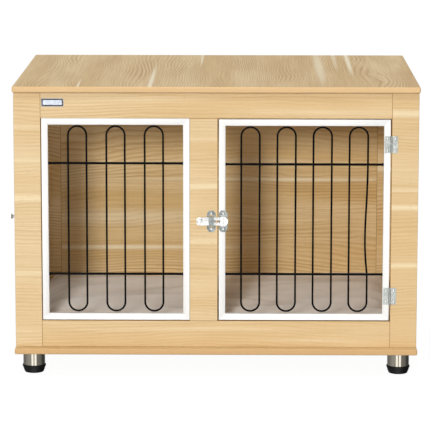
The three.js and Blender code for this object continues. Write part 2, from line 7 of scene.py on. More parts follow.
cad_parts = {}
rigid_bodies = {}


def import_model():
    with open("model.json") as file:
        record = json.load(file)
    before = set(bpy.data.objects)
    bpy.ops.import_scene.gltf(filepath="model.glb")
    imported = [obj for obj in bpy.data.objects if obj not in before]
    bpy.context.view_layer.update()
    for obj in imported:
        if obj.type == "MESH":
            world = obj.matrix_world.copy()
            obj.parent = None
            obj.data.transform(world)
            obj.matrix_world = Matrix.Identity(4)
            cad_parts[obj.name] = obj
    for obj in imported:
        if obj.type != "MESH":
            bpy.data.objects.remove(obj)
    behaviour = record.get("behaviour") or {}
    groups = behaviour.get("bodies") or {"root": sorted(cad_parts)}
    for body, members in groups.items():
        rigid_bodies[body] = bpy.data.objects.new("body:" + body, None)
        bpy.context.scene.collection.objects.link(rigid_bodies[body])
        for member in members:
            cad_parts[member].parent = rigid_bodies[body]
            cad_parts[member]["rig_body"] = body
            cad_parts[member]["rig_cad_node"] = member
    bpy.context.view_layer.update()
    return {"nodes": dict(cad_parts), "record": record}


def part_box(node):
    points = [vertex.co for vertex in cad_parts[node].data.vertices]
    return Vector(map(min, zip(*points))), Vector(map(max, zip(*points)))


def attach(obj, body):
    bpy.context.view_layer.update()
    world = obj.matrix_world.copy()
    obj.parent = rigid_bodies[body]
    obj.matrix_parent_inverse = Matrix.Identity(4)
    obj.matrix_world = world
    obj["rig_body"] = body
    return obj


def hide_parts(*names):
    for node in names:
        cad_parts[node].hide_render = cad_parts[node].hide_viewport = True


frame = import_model()
nodes = frame["nodes"]
print("stage: frame loaded,", len(nodes), "nodes")

mm = 0.001
quarterTurn = math.pi / 2

view = {
    "place": (0.0551, -5.3389, 1.1766),
    "pitch": 0.16737,  # downwards
    "yaw": -0.01128,
    "roll": 0.00081,
    "focalPixels": 2598.4,
    "framePixels": 430,
    "sensor": 36,
    "farthest": 100,
}


def makeCamera():
    sinYaw, cosYaw = math.sin(view["yaw"]), math.cos(view["yaw"])
    sinPitch, cosPitch = math.sin(view["pitch"]), math.cos(view["pitch"])
    sinRoll, cosRoll = math.sin(view["roll"]), math.cos(view["roll"])
    ahead = Vector((sinYaw * cosPitch, cosYaw * cosPitch, -sinPitch))
    level = Vector((cosYaw, -sinYaw, 0))
    above = level.cross(ahead)
    right = cosRoll * level + sinRoll * above
    up = cosRoll * above - sinRoll * level
    bpy.ops.object.camera_add(location=view["place"])
    camera = bpy.context.object
    camera.name = "camera"
    turn = Matrix((right, up, -ahead)).transposed()
    camera.rotation_euler = turn.to_euler()
    camera.data.sensor_width = view["sensor"]
    camera.data.lens = view["sensor"] * view["focalPixels"] / view["framePixels"]
    camera.data.clip_end = view["farthest"]
    bpy.context.scene.camera = camera


makeCamera()
print("stage: camera")


def linear(hexColour):
    parts = [int(hexColour[i:i + 2], 16) / 255 for i in (1, 3, 5)]
    return [p / 12.92 if p <= 0.04045 else ((p + 0.055) / 1.055) ** 2.4 for p in parts] + [1]


# adds a node with its settings, its sockets' values and the links into it
def addNode(tree, kind, values=None, links=None, **settings):
    node = tree.nodes.new(kind)
    for name, value in settings.items():
        setattr(node, name, value)
    for socket, value in (values or {}).items():
        node.inputs[socket].default_value = value
    for socket, source in (links or {}).items():
        tree.links.new(source, node.inputs[socket])
    return node


def startMaterial(name):
    material = bpy.data.materials.new(name)
    material.use_nodes = True
    tree = material.node_tree
    tree.nodes.clear()
    place = addNode(tree, "ShaderNodeTexCoord").outputs
    return material, tree, place


def endMaterial(tree, values, links):
    shader = addNode(tree, "ShaderNodeBsdfPrincipled", values, links)
    addNode(tree, "ShaderNodeOutputMaterial", links={"Surface": shader.outputs[0]})


# Oak-effect melamine: printed paper under a satin resin skin, so the grain is colour and hardly any relief.
# Growth lines follow the contours of a slow noise, so they run level, drift and open into arches. Fibres
# and pores lie along them, and a few pale bands run nearly straight through.
# wander is how far the lines stray, strength how weak and strong their print is, bandEdge how sharply a pale
# band ends, lean how far it follows the drift, paintedShadeToRight how much warmer and darker a board gets
# that way, a painted shade for light that falls off to the right, and edgeTurn where the banded edge starts
# and is full, by the square of the normal through the board.
oak = {
    # on the front boards the edge colour is a painted shade: their sides, tops and bottoms sit in shaded gaps
    "front": {
        "base": "#E3CBA2", "warm": "#DBBD8E", "line": "#C4A06B", "pale": "#F2E2BE", "edge": "#A17A45",
        "spacing": 7.2 * mm, "wander": 64 * mm, "wanderLength": 430 * mm, "wanderWidth": 150 * mm,
        "ripple": 1.5, "strength": (0.05, 0.6), "bandEdge": 0, "lean": 0.2, "paintedShadeToRight": 0.3,
        "edgeTurn": (0.4, 0.1),
    },
    # the side and back boards are printed paler and warmer than the front: painted light, for the light and
    # the warm bounce inside the crate
    "inside": {
        "base": "#ECD4A6", "warm": "#DDBD84", "line": "#BF965E", "pale": "#F4E7C6", "edge": "#E6C391",
        "spacing": 8.4 * mm, "wander": 120 * mm, "wanderLength": 520 * mm, "wanderWidth": 170 * mm,
        "ripple": 1.6, "strength": (0.1, 0.85), "bandEdge": 0, "lean": 0.08, "paintedShadeToRight": 0,
        "edgeTurn": (0.4, 0.1),
    },
    "top": {
        "base": "#E6CDA1", "warm": "#D9BC8A", "line": "#B8925C", "pale": "#F6ECD0", "edge": "#E1BE8E",
        "spacing": 5.8 * mm, "wander": 130 * mm, "wanderLength": 470 * mm, "wanderWidth": 150 * mm,
        "ripple": 1.2, "strength": (0.14, 1), "bandEdge": 0.3, "lean": 0.04, "paintedShadeToRight": 0.2,
        "edgeTurn": (0.9, 0.6),
    },
    "seam": "#A8834F",  # painted shade of the joints, on the arrises
    "fineLines": 2.7,  # how many of the finer set there are to each growth line
    "fineStrength": 0.3,
    "fibreStrength": 0.5,
    "poreStrength": 0.45,
    "rippleLength": 111.1 * mm,
    "rippleWidth": 33.33 * mm,
    "patchLength": 285.7 * mm,  # of weak or strong print
    "patchWidth": 41.67 * mm,
    "warmLength": 625 * mm,
    "warmWidth": 71.43 * mm,
    "fibreLength": 170 * mm,
    "fibreWidth": 2.6 * mm,
    "poreLength": 14 * mm,
    "poreWidth": 1 * mm,
    "streakLength": 200 * mm,  # on the banded edges
    "streakHeight": 2.381 * mm,
    "roughness": 0.46,
}
oak["base"] = {**oak["top"], "edge": "#D3AC7A"}
far = 10  # half the length of a band that runs right through a board


# a slow drift and a smaller ripple bend the lines, which darken slowly and end sharply, and a second, finer
# set lies between
def addGrowthLines(tree, look, sheet, across, shift):
    scale = (1 / look["wanderLength"], 1 / look["wanderWidth"], 1 / look["wanderWidth"])
    slow = addNode(tree, "ShaderNodeMapping", {"Location": shift, "Scale": scale},
                   {"Vector": sheet}).outputs[0]
    drift = addNode(tree, "ShaderNodeTexNoise", {"Scale": 1, "Detail": 1, "Roughness": 0.4},
                    {"Vector": slow}).outputs["Fac"]
    scale = (1 / oak["rippleLength"], 1 / oak["rippleWidth"], 1 / oak["rippleWidth"])
    quick = addNode(tree, "ShaderNodeMapping", {"Location": shift, "Scale": scale},
                    {"Vector": sheet}).outputs[0]
    ripple = addNode(tree, "ShaderNodeTexNoise", {"Scale": 1, "Detail": 2}, {"Vector": quick}).outputs["Fac"]
    count = addNode(tree, "ShaderNodeMath", {1: 1 / look["spacing"]}, {0: across},
                    operation="MULTIPLY").outputs[0]
    count = addNode(tree, "ShaderNodeMath", {1: look["wander"] / look["spacing"]}, {0: drift, 2: count},
                    operation="MULTIPLY_ADD").outputs[0]
    count = addNode(tree, "ShaderNodeMath", {1: look["ripple"]}, {0: ripple, 2: count},
                    operation="MULTIPLY_ADD").outputs[0]
    ring = addNode(tree, "ShaderNodeMath", links={0: count}, operation="FRACT").outputs[0]
    rise = addNode(tree, "ShaderNodeMapRange", {"From Min": 0.3, "From Max": 0.86}, {"Value": ring},
                   interpolation_type="SMOOTHSTEP").outputs[0]
    fall = addNode(tree, "ShaderNodeMapRange", {"From Min": 1.0, "From Max": 0.88}, {"Value": ring},
                   interpolation_type="SMOOTHSTEP").outputs[0]
    line = addNode(tree, "ShaderNodeMath", links={0: rise, 1: fall}, operation="MULTIPLY").outputs[0]
    fine = addNode(tree, "ShaderNodeMath", {1: oak["fineLines"]}, {0: count}, operation="MULTIPLY").outputs[0]
    fine = addNode(tree, "ShaderNodeMath", links={0: fine}, operation="FRACT").outputs[0]
    fine = addNode(tree, "ShaderNodeMapRange",
                   {"From Min": 0.45, "From Max": 0.9, "To Max": oak["fineStrength"]}, {"Value": fine},
                   interpolation_type="SMOOTHSTEP").outputs[0]
    line = addNode(tree, "ShaderNodeMath", links={0: line, 1: fine}, operation="MAXIMUM").outputs[0]

    scale = (1 / oak["patchLength"], 1 / oak["patchWidth"], 1 / oak["patchWidth"])
    patch = addNode(tree, "ShaderNodeMapping", {"Location": shift, "Scale": scale},
                    {"Vector": sheet}).outputs[0]
    strength = addNode(tree, "ShaderNodeTexNoise", {"Scale": 1, "Detail": 2},
                       {"Vector": patch}).outputs["Fac"]
    weak, strong = look["strength"]
    strength = addNode(tree, "ShaderNodeMapRange",
                       {"From Min": 0.36, "From Max": 0.68, "To Min": weak, "To Max": strong},
                       {"Value": strength}).outputs[0]
    line = addNode(tree, "ShaderNodeMath", links={0: line, 1: strength}, operation="MULTIPLY").outputs[0]
    return line, drift


# pale bands lean a little with the drift; there is no mask where a board has none
def addPaleBands(tree, look, sheet, drift, bands):
    lean = look["lean"] * look["wander"]
    leaning = addNode(tree, "ShaderNodeVectorMath", {1: (0, lean, 0)}, {0: drift, 2: sheet},
                      operation="MULTIPLY_ADD").outputs[0]
    mask = None
    for height, halfWidth, middle, halfLength, clear in bands:
        scale = (1 / halfLength, 1 / halfWidth, 0)
        offset = (-middle / halfLength, -(height + lean / 2) / halfWidth, 0)
        band = addNode(tree, "ShaderNodeMapping", {"Location": offset, "Scale": scale},
                       {"Vector": leaning}).outputs[0]
        band = addNode(tree, "ShaderNodeVectorMath", links={0: band}, operation="LENGTH").outputs["Value"]
        band = addNode(tree, "ShaderNodeMapRange",
                       {"From Min": 1.0, "From Max": look["bandEdge"], "To Max": clear}, {"Value": band},
                       interpolation_type="SMOOTHSTEP").outputs[0]
        mask = band if mask is None else addNode(
            tree, "ShaderNodeMath", links={0: mask, 1: band}, operation="MAXIMUM").outputs[0]
    return mask


# the banded edges are plain with level streaks; on the front boards they carry a painted shade
def addEdgeColourAndShade(tree, look, place, squared, colour):
    scale = (1 / oak["streakLength"], 1 / oak["streakLength"], 1 / oak["streakHeight"])
    level = addNode(tree, "ShaderNodeMapping", {"Scale": scale}, {"Vector": place["Object"]}).outputs[0]
    streaks = addNode(tree, "ShaderNodeTexNoise", {"Scale": 1, "Detail": 2}, {"Vector": level}).outputs["Fac"]
    edgeColourAndShade = addNode(tree, "ShaderNodeMix", {6: linear(look["edge"]), 7: linear(look["line"])}, {0: streaks},
                     data_type="RGBA").outputs[2]
    edgeColourAndShade = addNode(tree, "ShaderNodeMix", {0: 0.6, 7: linear(look["edge"])}, {6: edgeColourAndShade},
                     data_type="RGBA").outputs[2]
    flat, turned = look["edgeTurn"]
    mask = addNode(tree, "ShaderNodeMapRange", {"From Min": flat, "From Max": turned},
                   {"Value": squared}).outputs[0]
    return addNode(tree, "ShaderNodeMix", links={0: mask, 6: colour, 7: edgeColourAndShade}, data_type="RGBA").outputs[2]


# the arrises get a painted dark line, the shade of the joints, where the eased edge faces halfway round
def addPaintedJointShade(tree, squared, colour):
    halfway = addNode(tree, "ShaderNodeMath", {1: 0.5}, {0: squared}, operation="SUBTRACT").outputs[0]
    away = addNode(tree, "ShaderNodeMath", links={0: halfway}, operation="ABSOLUTE").outputs[0]
    mask = addNode(tree, "ShaderNodeMapRange", {"From Min": 0.3, "From Max": 0.15},
                   {"Value": away}).outputs[0]
    return addNode(tree, "ShaderNodeMix", {7: linear(oak["seam"])}, {0: mask, 6: colour},
                   data_type="RGBA").outputs[2]


def makeOak(name, cut, axes, shift, bands):
    look = oak[cut]
    material, tree, place = startMaterial(name)
    sides = addNode(tree, "ShaderNodeSeparateXYZ", links={0: place["Object"]}).outputs
    sheet = addNode(tree, "ShaderNodeCombineXYZ",
                    links={i: sides[axis] for i, axis in enumerate(axes)}).outputs[0]
    lineMask, drift = addGrowthLines(tree, look, sheet, sides[axes[1]], shift)
    paleMask = addPaleBands(tree, look, sheet, drift, bands)

    # the tone wanders warmer at random; on the front and top it also deepens to the right, as painted shade
    scale = (1 / oak["warmLength"], 1 / oak["warmWidth"], 1 / oak["warmWidth"])
    broad = addNode(tree, "ShaderNodeMapping", {"Location": shift, "Scale": scale},
                    {"Vector": sheet}).outputs[0]
    warmthAndShade = addNode(tree, "ShaderNodeTexNoise", {"Scale": 1, "Detail": 2}, {"Vector": broad}).outputs["Fac"]
    warmthAndShade = addNode(tree, "ShaderNodeMath", {1: look["paintedShadeToRight"]}, {0: sides["X"], 2: warmthAndShade},
                     operation="MULTIPLY_ADD").outputs[0]
    warmthAndShade = addNode(tree, "ShaderNodeMapRange", {"From Min": 0.35, "From Max": 0.65},
                     {"Value": warmthAndShade}).outputs[0]

    scale = (1 / oak["fibreLength"], 1 / oak["fibreWidth"], 1 / oak["fibreWidth"])
    drawn = addNode(tree, "ShaderNodeMapping", {"Scale": scale}, {"Vector": sheet}).outputs[0]
    fibres = addNode(tree, "ShaderNodeTexNoise", {"Scale": 1, "Detail": 3, "Roughness": 0.6},
                     {"Vector": drawn}).outputs["Fac"]
    fibreMask = addNode(tree, "ShaderNodeMapRange",
                        {"From Min": 0.4, "From Max": 0.75, "To Max": oak["fibreStrength"]},
                        {"Value": fibres}).outputs[0]
    scale = (1 / oak["poreLength"], 1 / oak["poreWidth"], 1 / oak["poreWidth"])
    dotted = addNode(tree, "ShaderNodeMapping", {"Scale": scale}, {"Vector": sheet}).outputs[0]
    pores = addNode(tree, "ShaderNodeTexNoise", {"Scale": 1, "Detail": 0}, {"Vector": dotted}).outputs["Fac"]
    poreMask = addNode(tree, "ShaderNodeMapRange",
                       {"From Min": 0.66, "From Max": 0.8, "To Max": oak["poreStrength"]},
                       {"Value": pores}).outputs[0]

    colour = addNode(tree, "ShaderNodeMix", {6: linear(look["base"]), 7: linear(look["warm"])}, {0: warmthAndShade},
                     data_type="RGBA").outputs[2]
    for shade, mask in (("line", fibreMask), ("line", lineMask), ("pale", paleMask), ("line", poreMask)):
        if mask is not None:
            colour = addNode(tree, "ShaderNodeMix", {7: linear(look[shade])}, {0: mask, 6: colour},
                             data_type="RGBA").outputs[2]
    facing = addNode(tree, "ShaderNodeSeparateXYZ", links={0: place["Normal"]}).outputs[axes[2]]
    squared = addNode(tree, "ShaderNodeMath", links={0: facing, 1: facing}, operation="MULTIPLY").outputs[0]
    # edge colour, which on the front boards is painted shade
    colour = addEdgeColourAndShade(tree, look, place, squared, colour)
    # the painted joint shade goes on every board but the top and base
    if cut not in ("top", "base"):
        colour = addPaintedJointShade(tree, squared, colour)
    relief = addNode(tree, "ShaderNodeBump", {"Strength": 0.15, "Distance": 0.05 * mm},
                     {"Height": fibres}).outputs[0]
    endMaterial(tree, {"Roughness": oak["roughness"], "IOR": 1.48}, {"Base Color": colour, "Normal": relief})
    return material


# Powder coat, white or black, on steel: a thick soft-edged skin with a faint orange-peel ripple.
powderCoat = {
    "white": "#F8F8F6",
    "black": "#060708",
    "peelSize": 1.6 * mm,
    "peelDepth": 0.02 * mm,
    "cloudSize": 71.43 * mm,
    "worn": 0.97,  # the shade of the clouds
}


def makePowderCoat(name, colourName, roughness, shine):
    material, tree, place = startMaterial(name)
    peel = addNode(tree, "ShaderNodeTexNoise", {"Scale": 1 / powderCoat["peelSize"], "Detail": 1},
                   {"Vector": place["Object"]}).outputs["Fac"]
    cloud = addNode(tree, "ShaderNodeTexNoise", {"Scale": 1 / powderCoat["cloudSize"], "Detail": 2},
                    {"Vector": place["Object"]}).outputs["Fac"]
    tint = linear(powderCoat[colourName])
    worn = [powderCoat["worn"] * c for c in tint[:3]] + [1]
    colour = addNode(tree, "ShaderNodeMix", {6: tint, 7: worn}, {0: cloud}, data_type="RGBA").outputs[2]
    relief = addNode(tree, "ShaderNodeBump", {"Strength": 0.4, "Distance": powderCoat["peelDepth"]},
                     {"Height": peel}).outputs[0]
    endMaterial(tree, {"Roughness": roughness, "IOR": 1.5, "Specular IOR Level": shine},
                {"Base Color": colour, "Normal": relief})
    return material


# Plated steel: zinc is cloudy and slightly blue-green, nickel is bright and smooth. Both were tumbled, so
# they have faint scratches.
plating = {
    "zinc": {"pale": "#C6C9C5", "dark": "#9FA4A0", "roughness": (0.28, 0.45)},
    # the latch plates are a darker zinc than the hinges
    "darker zinc": {"pale": "#A9AEAC", "dark": "#737A78", "roughness": (0.26, 0.42)},
    "nickel": {"pale": "#F4F4F1", "dark": "#DEDFDD", "roughness": (0.2, 0.32)},
    "aluminium": {"pale": "#DDE3EA", "dark": "#C3CBD6", "roughness": (0.3, 0.4)},
    "cloudSize": 6 * mm,
    "scratchWidth": 0.25 * mm,
    "scratchLength": 5 * mm,
}


def makePlating(name, metal):
    look = plating[metal]
    material, tree, place = startMaterial(name)
    cloud = addNode(tree, "ShaderNodeTexNoise",
                    {"Scale": 1 / plating["cloudSize"], "Detail": 4, "Roughness": 0.6},
                    {"Vector": place["Object"]}).outputs["Fac"]
    mask = addNode(tree, "ShaderNodeMapRange", {"From Min": 0.35, "From Max": 0.68},
                   {"Value": cloud}).outputs[0]
    colour = addNode(tree, "ShaderNodeMix", {6: linear(look["pale"]), 7: linear(look["dark"])}, {0: mask},
                     data_type="RGBA").outputs[2]
    low, high = look["roughness"]
    rough = addNode(tree, "ShaderNodeMapRange",
                    {"From Min": 0.3, "From Max": 0.7, "To Min": low, "To Max": high},
                    {"Value": cloud}).outputs[0]
    scale = (1 / plating["scratchLength"], 1 / plating["scratchWidth"], 1 / plating["scratchWidth"])
    drawn = addNode(tree, "ShaderNodeMapping", {"Scale": scale}, {"Vector": place["Object"]}).outputs[0]
    scratch = addNode(tree, "ShaderNodeTexNoise", {"Scale": 1, "Detail": 2}, {"Vector": drawn}).outputs["Fac"]
    relief = addNode(tree, "ShaderNodeBump", {"Strength": 0.25, "Distance": 0.01 * mm},
                     {"Height": scratch}).outputs[0]
    endMaterial(tree, {"Metallic": 1}, {"Base Color": colour, "Roughness": rough, "Normal": relief})
    return material


# Stainless tube, brushed round its girth before cutting, so it draws highlights out sideways a little.
footSteel = {
    "pale": "#CBC5B8",
    "dark": "#B0A999",
    "brushWidth": 0.4 * mm,
    "brushLength": 10 * mm,
    "roughness": 0.1,
}


def makeFootSteel(name):
    material, tree, place = startMaterial(name)
    scale = (1 / footSteel["brushLength"], 1 / footSteel["brushLength"], 1 / footSteel["brushWidth"])
    drawn = addNode(tree, "ShaderNodeMapping", {"Scale": scale}, {"Vector": place["Object"]}).outputs[0]
    brush = addNode(tree, "ShaderNodeTexNoise", {"Scale": 1, "Detail": 3}, {"Vector": drawn}).outputs["Fac"]
    colour = addNode(tree, "ShaderNodeMix", {6: linear(footSteel["pale"]), 7: linear(footSteel["dark"])},
                     {0: brush}, data_type="RGBA").outputs[2]
    relief = addNode(tree, "ShaderNodeBump", {"Strength": 0.2, "Distance": 0.01 * mm},
                     {"Height": brush}).outputs[0]
    endMaterial(tree, {"Metallic": 1, "Roughness": footSteel["roughness"]},
                {"Base Color": colour, "Normal": relief})
    return material


# Black polypropylene, moulded with a fine spark-eroded grain.
footPlastic = {"colour": "#080808", "grain": 0.7 * mm, "roughness": (0.34, 0.55)}


def makeFootPlastic(name):
    material, tree, place = startMaterial(name)
    grain = addNode(tree, "ShaderNodeTexNoise", {"Scale": 1 / footPlastic["grain"], "Detail": 2},
                    {"Vector": place["Object"]}).outputs["Fac"]
    smooth, dull = footPlastic["roughness"]
    rough = addNode(tree, "ShaderNodeMapRange", {"To Min": smooth, "To Max": dull},
                    {"Value": grain}).outputs[0]
    relief = addNode(tree, "ShaderNodeBump", {"Strength": 0.4, "Distance": 0.04 * mm},
                     {"Height": grain}).outputs[0]
    endMaterial(tree, {"Base Color": linear(footPlastic["colour"]), "IOR": 1.49, "Specular IOR Level": 0.3},
                {"Roughness": rough, "Normal": relief})
    return material


# Brushed polyester cover: a plain weave with a short soft nap. The threads are drawn 1.6 mm apart, about
# four times the real spacing, so that they show.
coverCloth = {
    "warp": "#F6EEE4",
    "weft": "#EBE1D5",
    "shade": "#DBCFC0",
    # the painted shade in the creases
    "paintedCreaseShade": "#BBAB97",
    "thread": 1.6 * mm,
    "napSize": 45.45 * mm,  # of areas that were stroked one way
}


def makeCoverCloth(name):
    material, tree, place = startMaterial(name)
    waveScale = 2 * math.pi / (20 * coverCloth["thread"])  # at scale 1 a wave is 2 pi / 20 long
    across = addNode(tree, "ShaderNodeTexWave", {"Scale": waveScale, "Distortion": 0.6, "Detail": 1},
                     {"Vector": place["Object"]}, bands_direction="X").outputs["Fac"]
    along = addNode(tree, "ShaderNodeTexWave", {"Scale": waveScale, "Distortion": 0.6, "Detail": 1},
                    {"Vector": place["Object"]}, bands_direction="Y").outputs["Fac"]
    weave = addNode(tree, "ShaderNodeMath", links={0: across, 1: along}, operation="MULTIPLY").outputs[0]
    nap = addNode(tree, "ShaderNodeTexNoise",
                  {"Scale": 1 / coverCloth["napSize"], "Detail": 4, "Roughness": 0.6},
                  {"Vector": place["Object"]}).outputs["Fac"]
    colour = addNode(tree, "ShaderNodeMix", {6: linear(coverCloth["weft"]), 7: linear(coverCloth["warp"])},
                     {0: weave}, data_type="RGBA").outputs[2]
    napMask = addNode(tree, "ShaderNodeMapRange", {"From Min": 0.5, "From Max": 0.8, "To Max": 0.5},
                      {"Value": nap}).outputs[0]
    colour = addNode(tree, "ShaderNodeMix", {7: linear(coverCloth["shade"])}, {0: napMask, 6: colour},
                     data_type="RGBA").outputs[2]
    # deeper creases get more painted shade in the cover's colour
    paintedCreaseShade = addNode(tree, "ShaderNodeAttribute", attribute_name="paintedCreaseShade").outputs["Fac"]
    colour = addNode(tree, "ShaderNodeMix", {7: linear(coverCloth["paintedCreaseShade"])}, {0: paintedCreaseShade, 6: colour},
                     data_type="RGBA").outputs[2]
    relief = addNode(tree, "ShaderNodeBump", {"Strength": 0.5, "Distance": 0.15 * mm},
                     {"Height": weave}).outputs[0]
    endMaterial(tree, {"Roughness": 0.9, "Sheen Weight": 0.35, "Sheen Roughness": 0.5},
                {"Base Color": colour, "Normal": relief})
    return material


whiteEnamel = makePowderCoat("white powder coat", "white", 0.32, 0.5)
blackEnamel = makePowderCoat("black powder coat", "black", 0.46, 0.08)
zincPlate = makePlating("zinc-plated steel", "zinc")
darkerZinc = makePlating("zinc-plated steel, darker", "darker zinc")
satinAluminium = makePlating("satin aluminium", "aluminium")
nickelPlate = makePlating("nickel-plated steel", "nickel")
brushedStainless = makeFootSteel("brushed stainless steel")
blackPlastic = makeFootPlastic("moulded black polypropylene")
brushedPolyester = makeCoverCloth("brushed polyester")


def dress(piece, material):
    piece.data.materials.clear()
    piece.data.materials.append(material)


# every board is its own print: its cut, the axes along and across the grain and through the board, a place
# on the sheet, and the pale bands, each with its place across the grain, half width, place along it, half
# length and clearness
boards = {
    "top_panel": ("top", "YXZ", (0.31, 0.07, 0.4), [
        (-271 * mm, 3.4 * mm, -290 * mm, 160 * mm, 0.8), (-130 * mm, 6 * mm, -240 * mm, 430 * mm, 0.8),
        (-36 * mm, 4 * mm, 290 * mm, 290 * mm, 0.7), (211 * mm, 13 * mm, 60 * mm, 420 * mm, 0.5),
        (247 * mm, 7 * mm, 250 * mm, 300 * mm, 0.45), (275 * mm, 6.5 * mm, 200 * mm, 370 * mm, 0.85)]),
    "base_panel": ("base", "XYZ", (0.9, 0.3, 0.2), []),
    "front_left_post": ("front", "XZY", (2.3, 7.4, 0.1), [
        (495 * mm, 9 * mm, -372 * mm, far, 0.35), (352 * mm, 12 * mm, -372 * mm, far, 0.55),
        (204 * mm, 8 * mm, -372 * mm, far, 0.45), (428 * mm, 6 * mm, -372 * mm, far, 0.3)]),
    "front_right_post": ("front", "XZY", (4.7, 3.3, 0.3), [
        (524 * mm, 12 * mm, 372 * mm, far, 0.6), (371 * mm, 7 * mm, 372 * mm, far, 0.4),
        (336 * mm, 9 * mm, 372 * mm, far, 0.65), (221 * mm, 8 * mm, 372 * mm, far, 0.6)]),
    "front_top_rail": ("front", "XZY", (6.2, 9.6, 0.2), [
        (552 * mm, 9 * mm, -150 * mm, 190 * mm, 0.3), (527 * mm, 9 * mm, 200 * mm, 240 * mm, 0.3)]),
    "front_bottom_rail": ("front", "XZY", (8.4, 2.6, 0.6), [
        (88 * mm, 7 * mm, -60 * mm, 330 * mm, 0.35), (66 * mm, 6 * mm, 180 * mm, 160 * mm, 0.3)]),
    "front_middle_stile": ("front", "XZY", (1.1, 5.2, 0.7), [
        (378 * mm, 9 * mm, 0, far, 0.6), (470 * mm, 7 * mm, 0, far, 0.3), (268 * mm, 8 * mm, 0, far, 0.35)]),
    "left_front_stile": ("inside", "YZX", (6.1, 4.3, 0.2), [(410 * mm, 9 * mm, 0, far, 0.5)]),
    "left_rear_stile": ("inside", "YZX", (7.4, 8.5, 0.7), [(300 * mm, 9 * mm, 0, far, 0.5)]),
    "left_top_rail": ("inside", "YZX", (8.2, 1.2, 0.5), [(540 * mm, 6 * mm, 0, far, 0.4)]),
    "left_bottom_rail": ("inside", "YZX", (9.5, 6.4, 0.1), [(80 * mm, 7 * mm, 0, far, 0.4)]),
    "right_side_panel": ("inside", "YZX", (3.3, 5.5, 0.3), [
        (420 * mm, 10 * mm, 0, far, 0.5), (250 * mm, 8 * mm, 0, far, 0.5), (140 * mm, 7 * mm, 0, far, 0.4)]),
    "rear_left_post": ("inside", "XZY", (11.9, 2.4, 0.1), [(430 * mm, 12 * mm, 0, far, 0.5)]),
    "rear_right_post": ("inside", "XZY", (12.4, 7.5, 0.3), [(330 * mm, 9 * mm, 0, far, 0.7)]),
    "back_panel": ("inside", "XZY", (5.6, 4.3, 0.7), [
        (307 * mm, 6.5 * mm, 150 * mm, 460 * mm, 0.95), (156 * mm, 9 * mm, -200 * mm, 420 * mm, 0.9),
        (223 * mm, 26 * mm, -220 * mm, 330 * mm, 0.45), (345 * mm, 14 * mm, 60 * mm, 330 * mm, 0.35)]),
}
oakPrints = {name: makeOak("oak-effect melamine, " + name.replace("_", " "), *board)
             for name, board in boards.items()}
for name, oakPrint in oakPrints.items():
    dress(nodes[name], oakPrint)
print("stage: boards dressed")


def deselectAll():
    if bpy.context.object and bpy.context.object.mode != "OBJECT":
        bpy.ops.object.mode_set(mode="OBJECT")
    bpy.ops.object.select_all(action="DESELECT")


def pickOut(piece):
    deselectAll()
    piece.select_set(True)
    bpy.context.view_layer.objects.active = piece


# a plain block to start from, with its place in its mesh
def startBlock(low, high):
    deselectAll()
    bpy.ops.mesh.primitive_cube_add(size=1, location=(low + high) / 2, scale=(high - low))
    bpy.ops.object.transform_apply(location=True, rotation=True, scale=True)
    return bpy.context.object


def finishPiece(piece, name, material, body, smoothAngle=35):
    pickOut(piece)
    bpy.ops.object.transform_apply(location=True, rotation=True, scale=True)
    bpy.ops.object.mode_set(mode="EDIT")
    bpy.ops.mesh.select_all(action="SELECT")
    bpy.ops.mesh.normals_make_consistent(inside=False)
    bpy.ops.object.mode_set(mode="OBJECT")
    bpy.ops.object.shade_smooth_by_angle(angle=math.radians(smoothAngle))
    piece.name = name
    piece.data.name = name
    dress(piece, material)
    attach(piece, body)


def joinPieces(pieces):
    deselectAll()
    for piece in pieces:
        piece.select_set(True)
    bpy.context.view_layer.objects.active = pieces[0]
    bpy.ops.object.join()
    return bpy.context.object


# a turned piece: a round section that is extruded along the axis and resized at each step of the profile
def turnPiece(start, axis, profile, sides=48):
    axis = Vector(axis).normalized()
    spin = Vector((0, 0, 1)).rotation_difference(axis).to_euler()
    deselectAll()
    (distance, radius), steps = profile[0], profile[1:]
    place = Vector(start) + axis * distance
    bpy.ops.mesh.primitive_circle_add(vertices=sides, radius=radius, fill_type="NGON", location=place,
                                      rotation=spin)
    piece = bpy.context.object
    bpy.ops.object.mode_set(mode="EDIT")
    for nextDistance, nextRadius in steps:
        place = Vector(start) + axis * nextDistance
        bpy.ops.mesh.extrude_region_move(
            TRANSFORM_OT_translate={"value": axis * (nextDistance - distance), "orient_type": "GLOBAL"})
        scale = nextRadius / radius
        bpy.ops.transform.resize(value=(scale, scale, scale), center_override=place)
        distance, radius = nextDistance, nextRadius
    bpy.ops.object.mode_set(mode="OBJECT")
    return piece


easing = {"merge": 0.002 * mm, "flatAngle": 1, "sharpAngle": 28}


# a CAD piece with its seams merged and its edges eased, ready to be dressed
def easedCopy(nodeName, ease, segments=2):
    copy = nodes[nodeName].copy()
    copy.data = nodes[nodeName].data.copy()
    copy.parent = None
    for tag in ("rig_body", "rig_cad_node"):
        del copy[tag]
    bpy.context.scene.collection.objects.link(copy)
    pickOut(copy)
    bpy.ops.object.mode_set(mode="EDIT")
    bpy.ops.mesh.select_all(action="SELECT")
    bpy.ops.mesh.remove_doubles(threshold=easing["merge"])
    bpy.ops.mesh.dissolve_limited(angle_limit=math.radians(easing["flatAngle"]))
    bpy.ops.object.mode_set(mode="OBJECT")
    bevel = copy.modifiers.new("ease", "BEVEL")
    bevel.width = ease
    bevel.segments = segments
    bevel.limit_method = "ANGLE"
    bevel.angle_limit = math.radians(easing["sharpAngle"])
    bpy.ops.object.modifier_apply(modifier=bevel.name)
    return copy


# the top and base are wrapped over a rounded edge
panels = {"top_panel": "oak_top", "base_panel": "oak_board"}
panelEdge = {"round": 3 * mm, "segments": 5}


